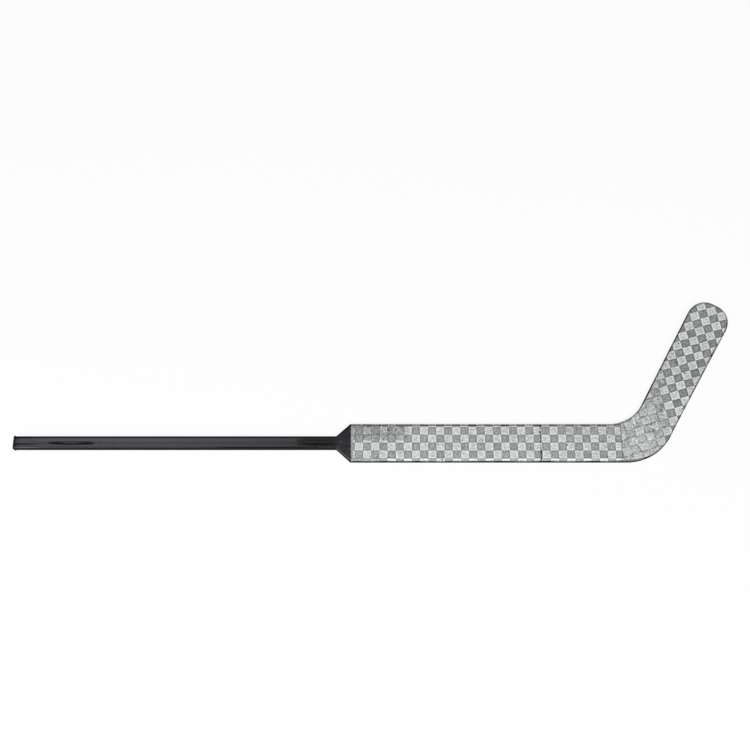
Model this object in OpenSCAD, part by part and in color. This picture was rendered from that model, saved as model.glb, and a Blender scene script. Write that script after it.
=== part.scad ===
// Goalkeeper's ice hockey stick, lying on its back with the blade curving up off the floor.
// +X runs from the butt to the heel, +Y from the heel to the toe side, +Z out of the front face.
// The origin is on the flat back of the paddle, on its centre line and midway along it.

/* [Shaft] */
// Length of the straight shaft, from the butt to the start of the shoulder
shaft_len = 720; // [500:1:900]
// Width of the shaft, across its front face
shaft_w = 29; // [26:0.5:32]
// Thickness of the shaft, front to back
shaft_t = 19; // [17:0.5:21]
// Radius of the shaft's long edges
shaft_edge_r = 4; // [3:0.25:5]
// Wall of the hollow shaft
shaft_wall = 2; // [1.5:0.1:2.5]

/* [Finger scallops] */
// Length of the scallop near the butt
butt_scallop_len = 120; // [60:1:200]
// From the butt to the middle of that scallop
butt_scallop_pos = 124; // [110:1:180]
// Width of that scallop
butt_scallop_w = 9; // [8:0.5:16]
// Depth of that scallop
butt_scallop_depth = 0.9; // [0.4:0.1:1.2]
// Length of the scallop at the throat
throat_scallop_len = 100; // [60:1:140]
// From the paddle to the end of that scallop
throat_scallop_gap = 20; // [5:1:40]
// Width of that scallop
throat_scallop_w = 16; // [10:0.5:17]
// Depth of that scallop
throat_scallop_depth = 1.1; // [0.4:0.1:1.3]

/* [Shoulder] */
// Length of the flared shoulder, from the shaft to the paddle
shoulder_len = 33; // [28:1:60]
// Length over which the shaft's edge turns into the slope
shoulder_fillet = 1; // [0.5:0.5:8]
// Length over which the slope turns into the paddle's edge
shoulder_round = 1.5; // [0.5:0.5:8]

/* [Paddle] */
// Length of the paddle, from the shoulder to the heel seam
paddle_len = 606; // [500:1:700]
// Width of the paddle
paddle_w = 87.5; // [80:0.5:92]
// Thickness of the paddle, front to back
paddle_t = 20; // [18:0.5:22]
// Radius of the paddle's long edges
paddle_edge_r = 7; // [5:0.5:8]
// Thickness of the woven skins and of the edge strips
skin_t = 1.5; // [1:0.1:2]
// From the shoulder to the splice in the skins
splice_pos = 425; // [300:1:480]

/* [Inside the paddle] */
// Thickness of the two webs
rib_t = 2; // [1:0.5:4]
// Length of the throat tenon in the shaft
tenon_in_shaft = 60; // [30:1:120]
// Length of the throat tenon in the paddle
tenon_in_paddle = 120; // [60:1:200]
// Length of the heel block's tongue between the webs
tongue_len = 60; // [30:1:120]

/* [Heel] */
// From the heel seam to the inner corner of the heel, where the edges would meet
heel_reach = 27.5; // [20:0.5:40]
// Radius of the inner side of the heel
heel_inner_r = 90; // [70:1:105]
// Radius of the outer side of the heel
heel_outer_r = 117; // [80:1:125]

/* [Blade] */
// Angle between the blade and the paddle's line
blade_angle = 60; // [52:0.5:66]
// Length of the blade, from the outer corner of the heel to the toe
blade_len = 404; // [340:1:450]
// Width of the blade next to the heel
blade_w = 88; // [82:0.5:96]
// Width of the blade at the toe
blade_toe_w = 96; // [80:0.5:100]
// Thickness of the blade at the toe
blade_toe_t = 10; // [8:0.5:14]
// How far the toe curves up out of the paddle's plane
blade_curve = 9; // [0:0.5:20]
// Length of straight blade before the curve starts
curve_start = 60; // [0:1:120]
// Length of the rounded toe
toe_len = 50; // [30:1:80]
// Fullness of the toe's corners, where 2 is an ellipse
toe_power = 2.3; // [2:0.1:3]
// Width of the flat at the very end of the toe
toe_flat = 16; // [10:1:24]
// Thickness of the web along the blade
blade_rib_t = 2; // [1:0.5:4]

/* [Butt plug] */
// Thickness of the plug's flange
plug_flange_t = 3.5; // [2:0.5:8]
// How far the flange stands out past the shaft
plug_lip = 1; // [0.5:0.25:2]
// Radius of the flange's corners
plug_corner_r = 4; // [3:0.5:6]
// Radius of the flange's outer rim
plug_rim_r = 1.2; // [0.5:0.1:1.8]
// Length of the plug's stem in the shaft
plug_stem_len = 40; // [25:1:60]
// Number of sealing ribs round the stem
plug_rib_count = 4; // [2:1:6]
// Length of one sealing rib
plug_rib_len = 2.5; // [1:0.5:4]
// Height of one sealing rib
plug_rib_h = 1; // [0.5:0.1:1.5]
// Gap between the sealing ribs and the shaft's bore
plug_clearance = 0.1; // [0.05:0.01:0.3]
// Gap between the flange and the end of the shaft
plug_seat_gap = 0.1; // [0.05:0.05:0.5]

/* [Hidden] */

// Steps in a quarter-round edge, and along each curved stretch
ARC = 6;
SCALLOP_ACROSS = 8;
SCALLOP_ALONG = 12;
FLARE_STEPS = 5;
SLOPE_STEPS = 5;
HEEL_STEPS = 9;
BLADE_STEPS = 9;
TOE_STEPS = 9;
RIM_STEPS = 4;

BLACK = "#232427";
WEAVE = "#aeb0b0";
STRIP = "#2b2c2e";
FOAM = "#e3d9bd";
WEB = "#3a3b3e";
TENON = "#caa873";

// Places along the stick
paddle_x = -paddle_len / 2;
seam_x = paddle_len / 2;
splice_x = paddle_x + splice_pos;
shoulder_x = paddle_x - shoulder_len;
butt_x = shoulder_x - shaft_len;
paddle_mid_z = paddle_t / 2;
flange_w = shaft_w + 2 * plug_lip;
flange_t = shaft_t + 2 * plug_lip;
// The flange rests on the floor together with the paddle's back
shaft_mid_z = flange_t / 2;

bore_w = shaft_w - 2 * shaft_wall;
bore_t = shaft_t - 2 * shaft_wall;
bore_r = shaft_edge_r - shaft_wall;
rib_y = bore_w / 2;
core_y = rib_y + rib_t;

// Slope of the shoulder, with a fillet at its start and a round at its end
slope_end_x = paddle_x - shoulder_round;
slope = atan2((paddle_w - shaft_w) / 2, slope_end_x - shoulder_x);
fillet_x = shoulder_x - shoulder_fillet;
fillet_end_x = shoulder_x + shoulder_fillet * cos(slope);
round_x = slope_end_x - shoulder_round * cos(slope);
fillet_r = shoulder_fillet / tan(slope / 2);
round_r = shoulder_round / tan(slope / 2);

// Corners where the straight edges of the paddle and the blade would meet
along = [cos(blade_angle), sin(blade_angle)];
across = [-sin(blade_angle), cos(blade_angle)];
inner_corner = [seam_x + heel_reach, paddle_w / 2];
outer_corner = [inner_corner.x + (blade_w - paddle_w * cos(blade_angle)) / sin(blade_angle),
                -paddle_w / 2];
inner_tangent = heel_inner_r * tan(blade_angle / 2);
outer_tangent = heel_outer_r * tan(blade_angle / 2);
inner_arc_x = inner_corner.x - inner_tangent;
outer_arc_x = outer_corner.x - outer_tangent;
seam_turn = asin((seam_x - inner_arc_x) / heel_inner_r);

// The straight blade starts where the heel's inner round ends, square to the blade
root = inner_corner + inner_tangent * along - across * blade_w / 2;
outer_root = (root - outer_corner) * along;
straight_len = blade_len - outer_root;
outer_line = outer_arc_x - seam_x;
outer_arc = heel_outer_r * blade_angle * PI / 180;
outer_run = outer_line + outer_arc + outer_root - outer_tangent;

// Blends f from 0 to 1 without a kink at either end
function ease(f) = f * f * (3 - 2 * f);
function clip(f) = max(0, min(1, f));

// How far along the straight blade a point lies
function blade_run(p) = max(0, min(straight_len, (p - root) * along));
function thickness(p) =
    blade_toe_t + (paddle_t - blade_toe_t) * (1 - ease(blade_run(p) / straight_len));
function mid_z(p) =
    paddle_mid_z
    + blade_curve * pow(max(0, blade_run(p) - curve_start) / (straight_len - curve_start), 2);
function edge_r(p) = paddle_edge_r * thickness(p) / paddle_t;

// Outer edge of the heel, by distance from the seam
function outer_heel(d) =
    d < outer_line ? [seam_x + d, -paddle_w / 2]
    : d < outer_line + outer_arc ? let (turn = (d - outer_line) / outer_arc * blade_angle)
        [outer_arc_x + heel_outer_r * sin(turn), -paddle_w / 2 + heel_outer_r * (1 - cos(turn))]
    : outer_corner + (outer_tangent + d - outer_line - outer_arc) * along;
function inner_heel(turn) =
    [inner_arc_x + heel_inner_r * sin(turn), paddle_w / 2 + heel_inner_r * (1 - cos(turn))];

function blade_half(run) = (blade_w + (blade_toe_w - blade_w) * run / straight_len) / 2;
function blade_pair(run, half) =
    [root + run * along + half * across, root + run * along - half * across];

// Pairs of points on the inner and the outer edge, from the shoulder to the toe
toe_end = acos(pow(toe_flat / blade_toe_w, toe_power / 2));
paddle_pairs = [for (x = [paddle_x, splice_x, inner_arc_x]) [[x, paddle_w / 2], [x, -paddle_w / 2]]];
turn_pairs = [for (f = [1 / 3, 2 / 3]) let (p = inner_heel(f * seam_turn)) [p, [p.x, -paddle_w / 2]]];
heel_pairs = [for (i = [0:HEEL_STEPS]) let (f = i / HEEL_STEPS)
    [inner_heel(seam_turn + f * (blade_angle - seam_turn)), outer_heel(f * outer_run)]];
blade_pairs = [for (i = [1:BLADE_STEPS]) let (run = (straight_len - toe_len) * i / BLADE_STEPS)
    blade_pair(run, blade_half(run))];
toe_pairs = [for (i = [1:TOE_STEPS]) let (
        a = toe_end * i / TOE_STEPS,
        run = straight_len - toe_len * (1 - pow(sin(a), 2 / toe_power)))
    blade_pair(run, blade_half(run) * pow(cos(a), 2 / toe_power))];
pairs = concat(paddle_pairs, turn_pairs, heel_pairs, blade_pairs, toe_pairs);
SPLICE = 1;
SEAM = len(paddle_pairs) + len(turn_pairs);
ROOT = SEAM + HEEL_STEPS;
TOE = len(pairs) - 1;
TOE_BLOCK = TOE - TOE_STEPS;

// The edge as one chain, out along the inner side and back along the outer side
chain = concat([for (p = pairs) p[0]], [for (i = [TOE:-1:0]) pairs[i][1]]);
LAST = len(chain) - 1;
function unit(v) = v / norm(v);
// Which way the edge rounds: across the section, and square to the edge round the toe
function inward(i) =
    min(i, LAST - i) <= TOE_BLOCK ? unit(chain[LAST - i] - chain[i])
    : let (t = chain[i + 1] - chain[i - 1]) unit([t.y, -t.x]);

// Point of the edge's quarter round at angle a, inset by the skin or not, on the front or the back
function round_point(i, a, inset, front) = let (
        r = edge_r(chain[i]),
        q = chain[i] + inward(i) * (r - (r - inset) * cos(a)),
        rise = thickness(q) / 2 - r + (r - inset) * sin(a))
    [q.x, q.y, mid_z(q) + (front ? rise : -rise)];
function edge_round(i, inset, front) =
    [for (k = [0:ARC]) round_point(i, 90 * k / ARC, inset, front)];
function backward(list) = [for (k = [len(list) - 1:-1:0]) list[k]];

// Section of one skin at a pair of edge points: out along the outside and back along the inside
function skin_section(i, front) = concat(
    edge_round(i, 0, front), backward(edge_round(LAST - i, 0, front)),
    edge_round(LAST - i, skin_t, front), backward(edge_round(i, skin_t, front)));
// Half of the hollow between the skins at one edge, from the front to the back
function hollow_edge(i) =
    concat(backward(edge_round(i, skin_t, true)), edge_round(i, skin_t, false));
function hollow_section(i) = concat(hollow_edge(i), backward(hollow_edge(LAST - i)));
// Section of an edge strip
function band_section(i) = [
    round_point(i, 0, 0, false), round_point(i, 0, skin_t, false),
    round_point(i, 0, skin_t, true), round_point(i, 0, 0, true)];
// Back and front of the hollow over a plan point
function hollow_wall(p) = let (rise = thickness(p) / 2 - skin_t)
    [[p.x, p.y, mid_z(p) - rise], [p.x, p.y, mid_z(p) + rise]];

// Triangles between rings of n points each
function side_faces(n, rings) = [
    for (s = [0:rings - 2], k = [0:n - 1]) let (
        a = s * n + k, b = s * n + (k + 1) % n, c = b + n, d = a + n)
    each [[a, b, c], [a, c, d]]];
// A flat end of a convex ring, and of a ring that runs out and back
function fan_faces(n, first) = [for (k = [1:n - 2]) [first, first + k + 1, first + k]];
function strip_faces(n, first) = [for (k = [0:n / 2 - 2]) let (
        a = first + k, b = first + n - 1 - k)
    each [[a, b - 1, a + 1], [a, b, b - 1]]];
// The end of a skin that wraps round the toe, outside and inside
function wrap_faces(n, first) = let (h = first + n / 2) concat(
    strip_faces(n / 2, first), strip_faces(n / 2, h),
    [[first, h, h - 1], [first, first + n - 1, h]]);
function flipped(faces) = [for (f = faces) [f[0], f[2], f[1]]];

// Joins the sections and closes both ends; a folded section runs out and back
module loft(sections, folded = false, wrapped = false, mirrored = false) {
    n = len(sections[0]);
    rings = len(sections);
    last = (rings - 1) * n;
    start = folded ? strip_faces(n, 0) : fan_faces(n, 0);
    end = wrapped ? wrap_faces(n, last) : folded ? strip_faces(n, last) : fan_faces(n, last);
    faces = concat(side_faces(n, rings), start, flipped(end));
    polyhedron([for (s = sections) each s], mirrored ? flipped(faces) : faces);
}

// Width, thickness and middle of the shaft and shoulder at x
function flare(x) = clip((x - shoulder_x) / shoulder_len);
function blend(f, a, b) = a + (b - a) * f;
function half_width(x) =
    x <= fillet_x ? shaft_w / 2
    : x <= fillet_end_x ? shaft_w / 2 + fillet_r - sqrt(pow(fillet_r, 2) - pow(x - fillet_x, 2))
    : x <= round_x ? shaft_w / 2 + (x - shoulder_x) * tan(slope)
    : x < paddle_x ? paddle_w / 2 - round_r + sqrt(pow(round_r, 2) - pow(paddle_x - x, 2))
    : paddle_w / 2;
function tube_t(x) = blend(flare(x), shaft_t, paddle_t);
function tube_mid(x) = blend(flare(x), shaft_mid_z, paddle_mid_z);
function tube_r(x) = blend(flare(x), shaft_edge_r, paddle_edge_r);
function tube_wall(x) = blend(flare(x), shaft_wall, skin_t);

// Middle and depth of the scallops
butt_scallop_x = butt_x + butt_scallop_pos;
throat_scallop_x = paddle_x - throat_scallop_gap - throat_scallop_len / 2;
function swell(x, middle, length) = pow(max(0, 1 - pow(2 * (x - middle) / length, 2)), 1.5);
function scallop_depth(x) =
    butt_scallop_depth * swell(x, butt_scallop_x, butt_scallop_len)
    + throat_scallop_depth * swell(x, throat_scallop_x, throat_scallop_len);
function scallop_w(x) = x < (butt_scallop_x + throat_scallop_x) / 2 ? butt_scallop_w : throat_scallop_w;

// Corner of a rounded rectangle, centred, from angle a on
function corner(w, t, r, a) = [for (k = [0:ARC]) let (b = a + 90 * k / ARC)
    [(w / 2 - r) * sign(cos(a + 45)) + r * cos(b), (t / 2 - r) * sign(sin(a + 45)) + r * sin(b)]];
function round_rect(w, t, r) =
    concat(corner(w, t, r, 0), corner(w, t, r, 90), corner(w, t, r, 180), corner(w, t, r, 270));
// Front face of the tube between its corners, hollowed by the scallop; sense is 1 in front, -1 behind
function face_line(x, t, dip, sense) = [for (k = [0:SCALLOP_ACROSS]) let (f = 1 - 2 * k / SCALLOP_ACROSS)
    sense * [f * scallop_w(x) / 2, t / 2 - dip * pow(cos(90 * f), 2)]];
function tube_ring(x, inset, dip) = let (
        w = 2 * (half_width(x) - inset), t = tube_t(x) - 2 * inset, r = tube_r(x) - inset,
        ring = concat(corner(w, t, r, 0), face_line(x, t, dip, 1), corner(w, t, r, 90),
                      corner(w, t, r, 180), face_line(x, t, dip, -1), corner(w, t, r, 270)))
    [for (p = ring) [x, p[0], tube_mid(x) + p[1]]];

// Sorted places along the tube, without repeats
function sorted(list) = len(list) < 2 ? list : let (
        pivot = list[floor(len(list) / 2)],
        low = [for (v = list) if (v < pivot) v],
        high = [for (v = list) if (v > pivot) v])
    concat(sorted(low), [pivot], sorted(high));
function stretch(a, b, steps) = [for (i = [0:steps]) a + (b - a) * i / steps];
scallop_places = [for (s = [[butt_scallop_x, butt_scallop_len], [throat_scallop_x, throat_scallop_len]])
    each stretch(s[0] - s[1] / 2, s[0] + s[1] / 2, SCALLOP_ALONG)];
slope_places = [for (i = [1:SLOPE_STEPS - 1]) blend(i / SLOPE_STEPS, fillet_end_x, round_x)];
flare_places = concat(
    stretch(fillet_x, fillet_end_x, FLARE_STEPS), slope_places, stretch(round_x, paddle_x, FLARE_STEPS));
// Places nearer than this to a place of the flare are left out
PLACE_GAP = 0.4;
tube_places = sorted(concat([butt_x], flare_places, [for (s = scallop_places)
    if (min([for (f = flare_places) abs(f - s)]) > PLACE_GAP) s]));

bore_places = concat([butt_x], flare_places);

// Where the hollow of the shoulder is wide enough for the foam's nose
NOSE_W = 1;
nose_places = [for (x = bore_places)
    if (x > shoulder_x && half_width(x) - tube_r(x) > core_y + NOSE_W) x];

// Ring of the plug at x, drawn in from the flange's outline
function flange_ring(x, inset) = let (
        ring = round_rect(flange_w - 2 * inset, flange_t - 2 * inset, plug_corner_r))
    [for (p = ring) [x, p[0], shaft_mid_z + p[1]]];

module butt_plug() {
    stem_w = bore_w - 2 * plug_clearance;
    stem_t = bore_t - 2 * plug_clearance;
    stem_r = bore_r - plug_clearance;
    rib_pitch = plug_stem_len / (plug_rib_count + 0.5);
    seat_x = butt_x - plug_seat_gap;
    rim = [for (k = [0:RIM_STEPS]) let (a = 90 * k / RIM_STEPS)
        flange_ring(seat_x - plug_flange_t + plug_rim_r * (1 - cos(a)), plug_rim_r * (1 - sin(a)))];
    color(STRIP) {
        loft(concat(rim, [flange_ring(seat_x, 0)]), mirrored = true);
        translate([seat_x, 0, shaft_mid_z]) rotate([90, 0, 90]) {
            linear_extrude(plug_stem_len)
                polygon(round_rect(stem_w - 2 * plug_rib_h, stem_t - 2 * plug_rib_h, stem_r));
            for (i = [1:plug_rib_count])
                translate([0, 0, i * rib_pitch - plug_rib_len / 2])
                    linear_extrude(plug_rib_len)
                        polygon(round_rect(stem_w, stem_t, stem_r));
        }
    }
}

module shaft_tube() {
    outer = [for (x = tube_places) backward(tube_ring(x, 0, scallop_depth(x)))];
    inner = [for (x = bore_places) tube_ring(x, tube_wall(x), 0)];
    n = len(outer[0]);
    // The points of the bore follow those of the outside, and each end joins the two rings
    inside = n * len(outer);
    function end_faces(o, i) = [for (k = [0:n - 1]) let (
            a = o + k, b = o + (k + 1) % n,
            c = i + n - 1 - (k + 1) % n, d = i + n - 1 - k)
        each [[a, c, b], [a, d, c]]];
    bore = [for (f = side_faces(n, len(inner))) f + [inside, inside, inside]];
    butt_end = end_faces(0, inside);
    paddle_end = flipped(end_faces(inside - n, inside + n * (len(inner) - 1)));
    color(BLACK)
        polyhedron(concat([for (s = outer) each s], [for (s = inner) each s]),
                   concat(side_faces(n, len(outer)), bore, butt_end, paddle_end));
}

module throat_tenon() {
    color(TENON) {
        translate([shoulder_x - tenon_in_shaft, 0, shaft_mid_z]) rotate([90, 0, 90])
            linear_extrude(tenon_in_shaft + shoulder_len)
                polygon(round_rect(bore_w, bore_t, bore_r));
        channel(paddle_x, tenon_in_paddle);
    }
}

// Fills the channel between the paddle's webs from x on
module channel(x, length) {
    translate([x, -rib_y, skin_t]) cube([length, bore_w, paddle_t - 2 * skin_t]);
}

// One woven skin between two pairs of edge points
module skin(first, last, front) {
    color(WEAVE)
        loft([for (i = [first:last]) skin_section(i, front)],
             folded = true, wrapped = last == TOE, mirrored = front);
}

module paddle_front_skin_upper() { skin(0, SPLICE, true); }
module paddle_front_skin_lower() { skin(SPLICE, SEAM, true); }
module paddle_back_skin_upper() { skin(0, SPLICE, false); }
module paddle_back_skin_lower() { skin(SPLICE, SEAM, false); }
module blade_front_skin() { skin(SEAM, TOE, true); }
module blade_back_skin() { skin(SEAM, TOE, false); }

// A strip in the edge between two places of the chain
module band(first, last) {
    color(STRIP) loft([for (i = [first:last]) band_section(i)]);
}

module paddle_top_band() { band(0, SEAM); }
module paddle_bottom_band() { band(LAST - SEAM, LAST); }
module blade_edge_band() { band(SEAM, LAST - SEAM); }

// Back and front of the hollow of the shoulder and the paddle, over a line at y
function shoulder_wall(x, y) = let (rise = tube_t(x) / 2 - tube_wall(x))
    [[x, y, tube_mid(x) - rise], [x, y, tube_mid(x) + rise]];

// A web beside the channel, on the upper side (1) or the lower side (-1)
module paddle_rib(side) {
    color(WEB)
        loft([for (x = [nose_places[0], paddle_x, seam_x])
                 concat(shoulder_wall(x, side * rib_y), backward(shoulder_wall(x, side * core_y)))],
             mirrored = side < 0);
}

module paddle_top_rib() { paddle_rib(1); }
module paddle_bottom_rib() { paddle_rib(-1); }

// Half of the hollow of the shoulder at one edge, from the front to the back
function nose_edge(x, side) = let (
        inset = tube_wall(x),
        w = 2 * (half_width(x) - inset), t = tube_t(x) - 2 * inset, r = tube_r(x) - inset,
        edge = concat(backward(corner(w, t, r, 0)), backward(corner(w, t, r, 270))))
    [for (p = edge) [x, side * p[0], tube_mid(x) + p[1]]];

// Foam between a web and the edge, with a nose that fills the shoulder
module paddle_core(side) {
    nose = [for (x = nose_places) concat(shoulder_wall(x, side * core_y), nose_edge(x, side))];
    strip = [for (i = [SPLICE:SEAM]) let (x = pairs[i][0].x)
        concat(shoulder_wall(x, side * core_y), hollow_edge(side > 0 ? i : LAST - i))];
    color(FOAM) loft(concat(nose, strip), mirrored = side < 0);
}

module paddle_top_core() { paddle_core(1); }
module paddle_bottom_core() { paddle_core(-1); }
module paddle_middle_core() {
    color(FOAM) channel(paddle_x + tenon_in_paddle, paddle_len - tenon_in_paddle - tongue_len);
}

module heel_block() {
    color(TENON) {
        loft([for (i = [SEAM:ROOT]) hollow_section(i)]);
        channel(seam_x - tongue_len, tongue_len);
    }
}

// Back and front of the hollow of the blade, to one side of its middle line, at a pair of edge points
function blade_wall(i, offset) =
    hollow_wall(root + ((pairs[i][0] - root) * along) * along + offset * across);

module blade_rib() {
    half = blade_rib_t / 2;
    color(WEB)
        loft([for (i = [ROOT:TOE_BLOCK]) concat(blade_wall(i, -half), backward(blade_wall(i, half)))]);
}

// Foam between the web and one edge of the blade
module blade_core(side) {
    color(FOAM)
        loft([for (i = [ROOT:TOE_BLOCK])
                 concat(blade_wall(i, side * blade_rib_t / 2), hollow_edge(side > 0 ? i : LAST - i))],
             mirrored = side < 0);
}

module blade_upper_core() { blade_core(1); }
module blade_lower_core() { blade_core(-1); }

module toe_block() {
    color(TENON) loft([for (i = [TOE_BLOCK:TOE]) hollow_section(i)], folded = true);
}

butt_plug();
shaft_tube();
throat_tenon();
paddle_front_skin_upper();
paddle_front_skin_lower();
paddle_back_skin_upper();
paddle_back_skin_lower();
paddle_top_band();
paddle_bottom_band();
paddle_top_rib();
paddle_bottom_rib();
paddle_top_core();
paddle_middle_core();
paddle_bottom_core();
heel_block();
blade_front_skin();
blade_back_skin();
blade_edge_band();
blade_rib();
blade_upper_core();
blade_lower_core();
toe_block();
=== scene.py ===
"""Dresses the frame of a goalkeeper's ice hockey stick: lacquered shaft, woven paddle and blade, end plug.

It is laid out as an add-on: sizes and colours are properties, each group of pieces has an operator,
and a panel in the sidebar of the 3D view lists them. Lengths are in metres, in the frame of the model.
"""

import math
from collections import namedtuple

import bmesh
import bpy
from bpy.props import FloatProperty, FloatVectorProperty, IntProperty, PointerProperty
from bpy.types import Operator, Panel, PropertyGroup
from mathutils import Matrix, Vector

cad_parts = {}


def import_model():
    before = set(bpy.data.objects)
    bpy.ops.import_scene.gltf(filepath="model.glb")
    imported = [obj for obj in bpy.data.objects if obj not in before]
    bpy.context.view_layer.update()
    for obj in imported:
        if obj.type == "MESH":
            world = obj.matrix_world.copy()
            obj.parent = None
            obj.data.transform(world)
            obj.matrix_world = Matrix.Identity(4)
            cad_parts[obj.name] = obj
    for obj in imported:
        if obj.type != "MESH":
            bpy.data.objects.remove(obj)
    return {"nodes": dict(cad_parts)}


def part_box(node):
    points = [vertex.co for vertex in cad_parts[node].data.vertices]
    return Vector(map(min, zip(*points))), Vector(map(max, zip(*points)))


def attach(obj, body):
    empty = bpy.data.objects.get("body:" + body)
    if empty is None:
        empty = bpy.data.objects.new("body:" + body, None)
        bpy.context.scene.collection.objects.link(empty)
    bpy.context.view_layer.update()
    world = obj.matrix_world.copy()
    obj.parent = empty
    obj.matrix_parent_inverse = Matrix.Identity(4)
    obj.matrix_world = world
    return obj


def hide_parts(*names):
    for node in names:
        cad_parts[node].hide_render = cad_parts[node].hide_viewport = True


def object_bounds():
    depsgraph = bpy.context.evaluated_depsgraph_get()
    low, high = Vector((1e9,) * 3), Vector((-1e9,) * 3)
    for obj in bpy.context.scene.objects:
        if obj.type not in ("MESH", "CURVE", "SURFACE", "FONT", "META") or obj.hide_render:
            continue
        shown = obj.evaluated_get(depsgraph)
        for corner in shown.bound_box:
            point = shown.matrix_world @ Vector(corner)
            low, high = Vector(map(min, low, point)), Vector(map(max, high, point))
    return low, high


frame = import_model()
cad_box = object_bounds()

bl_info = {
    "name": "Goalkeeper's Stick",
    "version": (1, 0, 0),
    "blender": (4, 5, 0),
    "location": "View3D > Sidebar > Stick",
    "description": "Builds a chequered goalkeeper's ice hockey stick over its frame",
    "category": "Add Mesh",
}

MM = 0.001

# The faces of the stick, and which way each looks
SIDES = {"front": 1, "back": -1}
# Steps in a quarter round, across a woven face, between sections along the cloth, and round the toe
ROUND_STEPS = 8
FACE_STEPS = 26
CLOTH_STEP = 3 * MM
TOE_STEPS = 22
# Extra sections this near to the end of a skin, where its lip dips
LIP_PLACES = [0.4 * MM, 1 * MM, 2 * MM]
# Steps across a scallop, and between sections along the one at the butt and the one at the throat
SCALLOP_STEPS = 32
BUTT_STEP = 2 * MM
THROAT_STEP = 1 * MM
# Sections go on past the ends of the scallops, so that the flat face next to them is shaded flat
SCALLOP_MARGIN = 4 * MM
# Rings on the domed end of the plug, as shares of the way from its middle to its rim
DOME_PLACES = (0.2, 0.45, 0.7, 0.9)
# Steps across an edge strip, the height of its crown, and how far its two sides lie below the skins
STRIP_STEPS = 6
STRIP_CROWN = 0.2 * MM
STRIP_LIP = 0.15 * MM
BACKDROP_STEPS = 64
# Points nearer than this are one point
SAME_PLACE = 0.002 * MM
# A piece may differ from the box of its CAD node by this much
FIT = 1.5 * MM
# Edges that turn further than this are drawn sharp
SHARP_TURN = math.radians(38)

# Share of the checks' contrast that haze takes away, and that the top row loses before the heel seam; past 1
# their light and dark swap
MIDDLE_HAZE = 0.9
TOP_ROW_HAZE = 1.5
LOW_HAZE = 0.8
TOP_ROW_DIM = 0.28
# Soft change at the edge of a haze: across the stick, and along it as a number of tows
HAZE_EDGE = 2 * MM
HAZE_END_TOWS = 2.5
# How strongly checks show on the heel, and how far the border of that patch leans along the blade
HEEL_SHOW = 0.2
HEEL_LEAN = 1.6
# Where the dark line over the bottom edge is painted widest as shade under the heel, past the seam, and how
# far that reaches
HEEL_SHADE_AT = 20 * MM
HEEL_SHADE_REACH = 30 * MM
# How far from the end of the toe its own lines of painted shade reach: round the end, and along the outer
# side, with the length of the change to the blade's line
TIP_REACH = 30 * MM
TOE_REACH = 77.5 * MM
TOE_CHANGE = 25 * MM
# A dark line that comes no nearer than this has no black core
FAINT_LINE = 0.6

# A cloth's tone where its checks don't show and where they do, how strongly they show when the second one is
# reached, how worn the plain cloth is, and the strength of its grain
ClothLook = namedtuple("ClothLook", "plain clear clear_from worn grain")
PADDLE_LOOK = ClothLook(plain=0.19, clear=0.465, clear_from=1, worn=0.9, grain=1.4)
BLADE_LOOK = ClothLook(plain=0.66, clear=0.45, clear_from=0.38, worn=1, grain=1.05)

# Soft boxes: a strip over the shaft, a key light in front of the paddle, a low box that draws the front edge
# of the shaft, and one past the butt for the shoulder. An even share of 1 is a box that dims nowhere.
SoftBox = namedtuple("SoftBox", "name place aim size glow tint even", defaults=("#ffffff", 1))
SOFT_BOXES = [
    SoftBox("strip_light", (-1.74, 0.58, 2.3), (-1.74, 0.58, 0), (2.32, 0.42), 1.83, "#f1f4ff", 0.7),
    SoftBox("key_light", (0.9, -1.7, 3.0), (0.1, 0.05, 0), (2.6, 2.0), 6.4),
    SoftBox("edge_light", (-1.58, -0.8, 1.65), (-1.58, 0, 0), (1.4, 0.65), 3.4),
    SoftBox("side_light", (-2.1, -1.27, 1.19), (-0.32, -0.03, 0), (1.0, 1.3), 3.5),
]
# How bright the dim end of a soft box still is
DIM_END = 0.5
# Share of the floor that glows to what looks at it, and the way to the pale panel of the room
FLOOR_GLOW = 0.92
PANEL_WAY = (0, 0.2, 0.98)

# Sockets of a Mix node for vectors and for colours, which share their names with others
VECTOR_A, VECTOR_B, VECTOR_OUT = 4, 5, 1
COLOUR_A, COLOUR_B, COLOUR_OUT = 6, 7, 2


def linear(code):
    """An sRGB hex colour as linear red, green and blue."""
    parts = [int(code[i:i + 2], 16) / 255 for i in (1, 3, 5)]
    return [p / 12.92 if p <= 0.04045 else ((p + 0.055) / 1.055) ** 2.4 for p in parts]


def scaled(shade, f):
    """A colour that much brighter or darker."""
    return [min(1.0, part * f) for part in shade]


def mix(a, b, f):
    """From a to b by the share f."""
    return a + (b - a) * f


def clip(f):
    """The nearest number from 0 to 1."""
    return max(0.0, min(1.0, f))


def ease(f):
    """Goes from 0 to 1 without a kink at either end, and stays there outside."""
    f = clip(f)
    return f * f * (3 - 2 * f)


def past(place, edge, change):
    """0 before an edge and 1 past it, with a soft change of that length over it."""
    return ease((place - edge) / change + 0.5)


def before(place, edge, change):
    """1 before an edge and 0 past it, with a soft change of that length over it."""
    return past(edge, place, change)


def spread(start, end, step, lips=()):
    """Even places from start to end, at most a step apart, with extra ones near both ends."""
    count = math.ceil((end - start) / step)
    inner = [mix(start, end, i / count) for i in range(1, count)]
    return [start, *[start + p for p in lips], *inner, *[end - p for p in reversed(lips)], end]


# Properties


def length(name, description, default):
    """A size in metres."""
    return FloatProperty(name=name, description=description, default=default, unit="LENGTH", precision=5)


def angle(name, description, degrees):
    """An angle, given in degrees."""
    return FloatProperty(name=name, description=description, default=math.radians(degrees), unit="ROTATION")


def amount(name, description, default):
    """A plain number."""
    return FloatProperty(name=name, description=description, default=default)


def colour(name, description, code):
    """A colour, given as an sRGB hex value."""
    return FloatVectorProperty(
        name=name, description=description, default=linear(code), subtype="COLOR", size=3, min=0, max=1
    )


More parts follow.
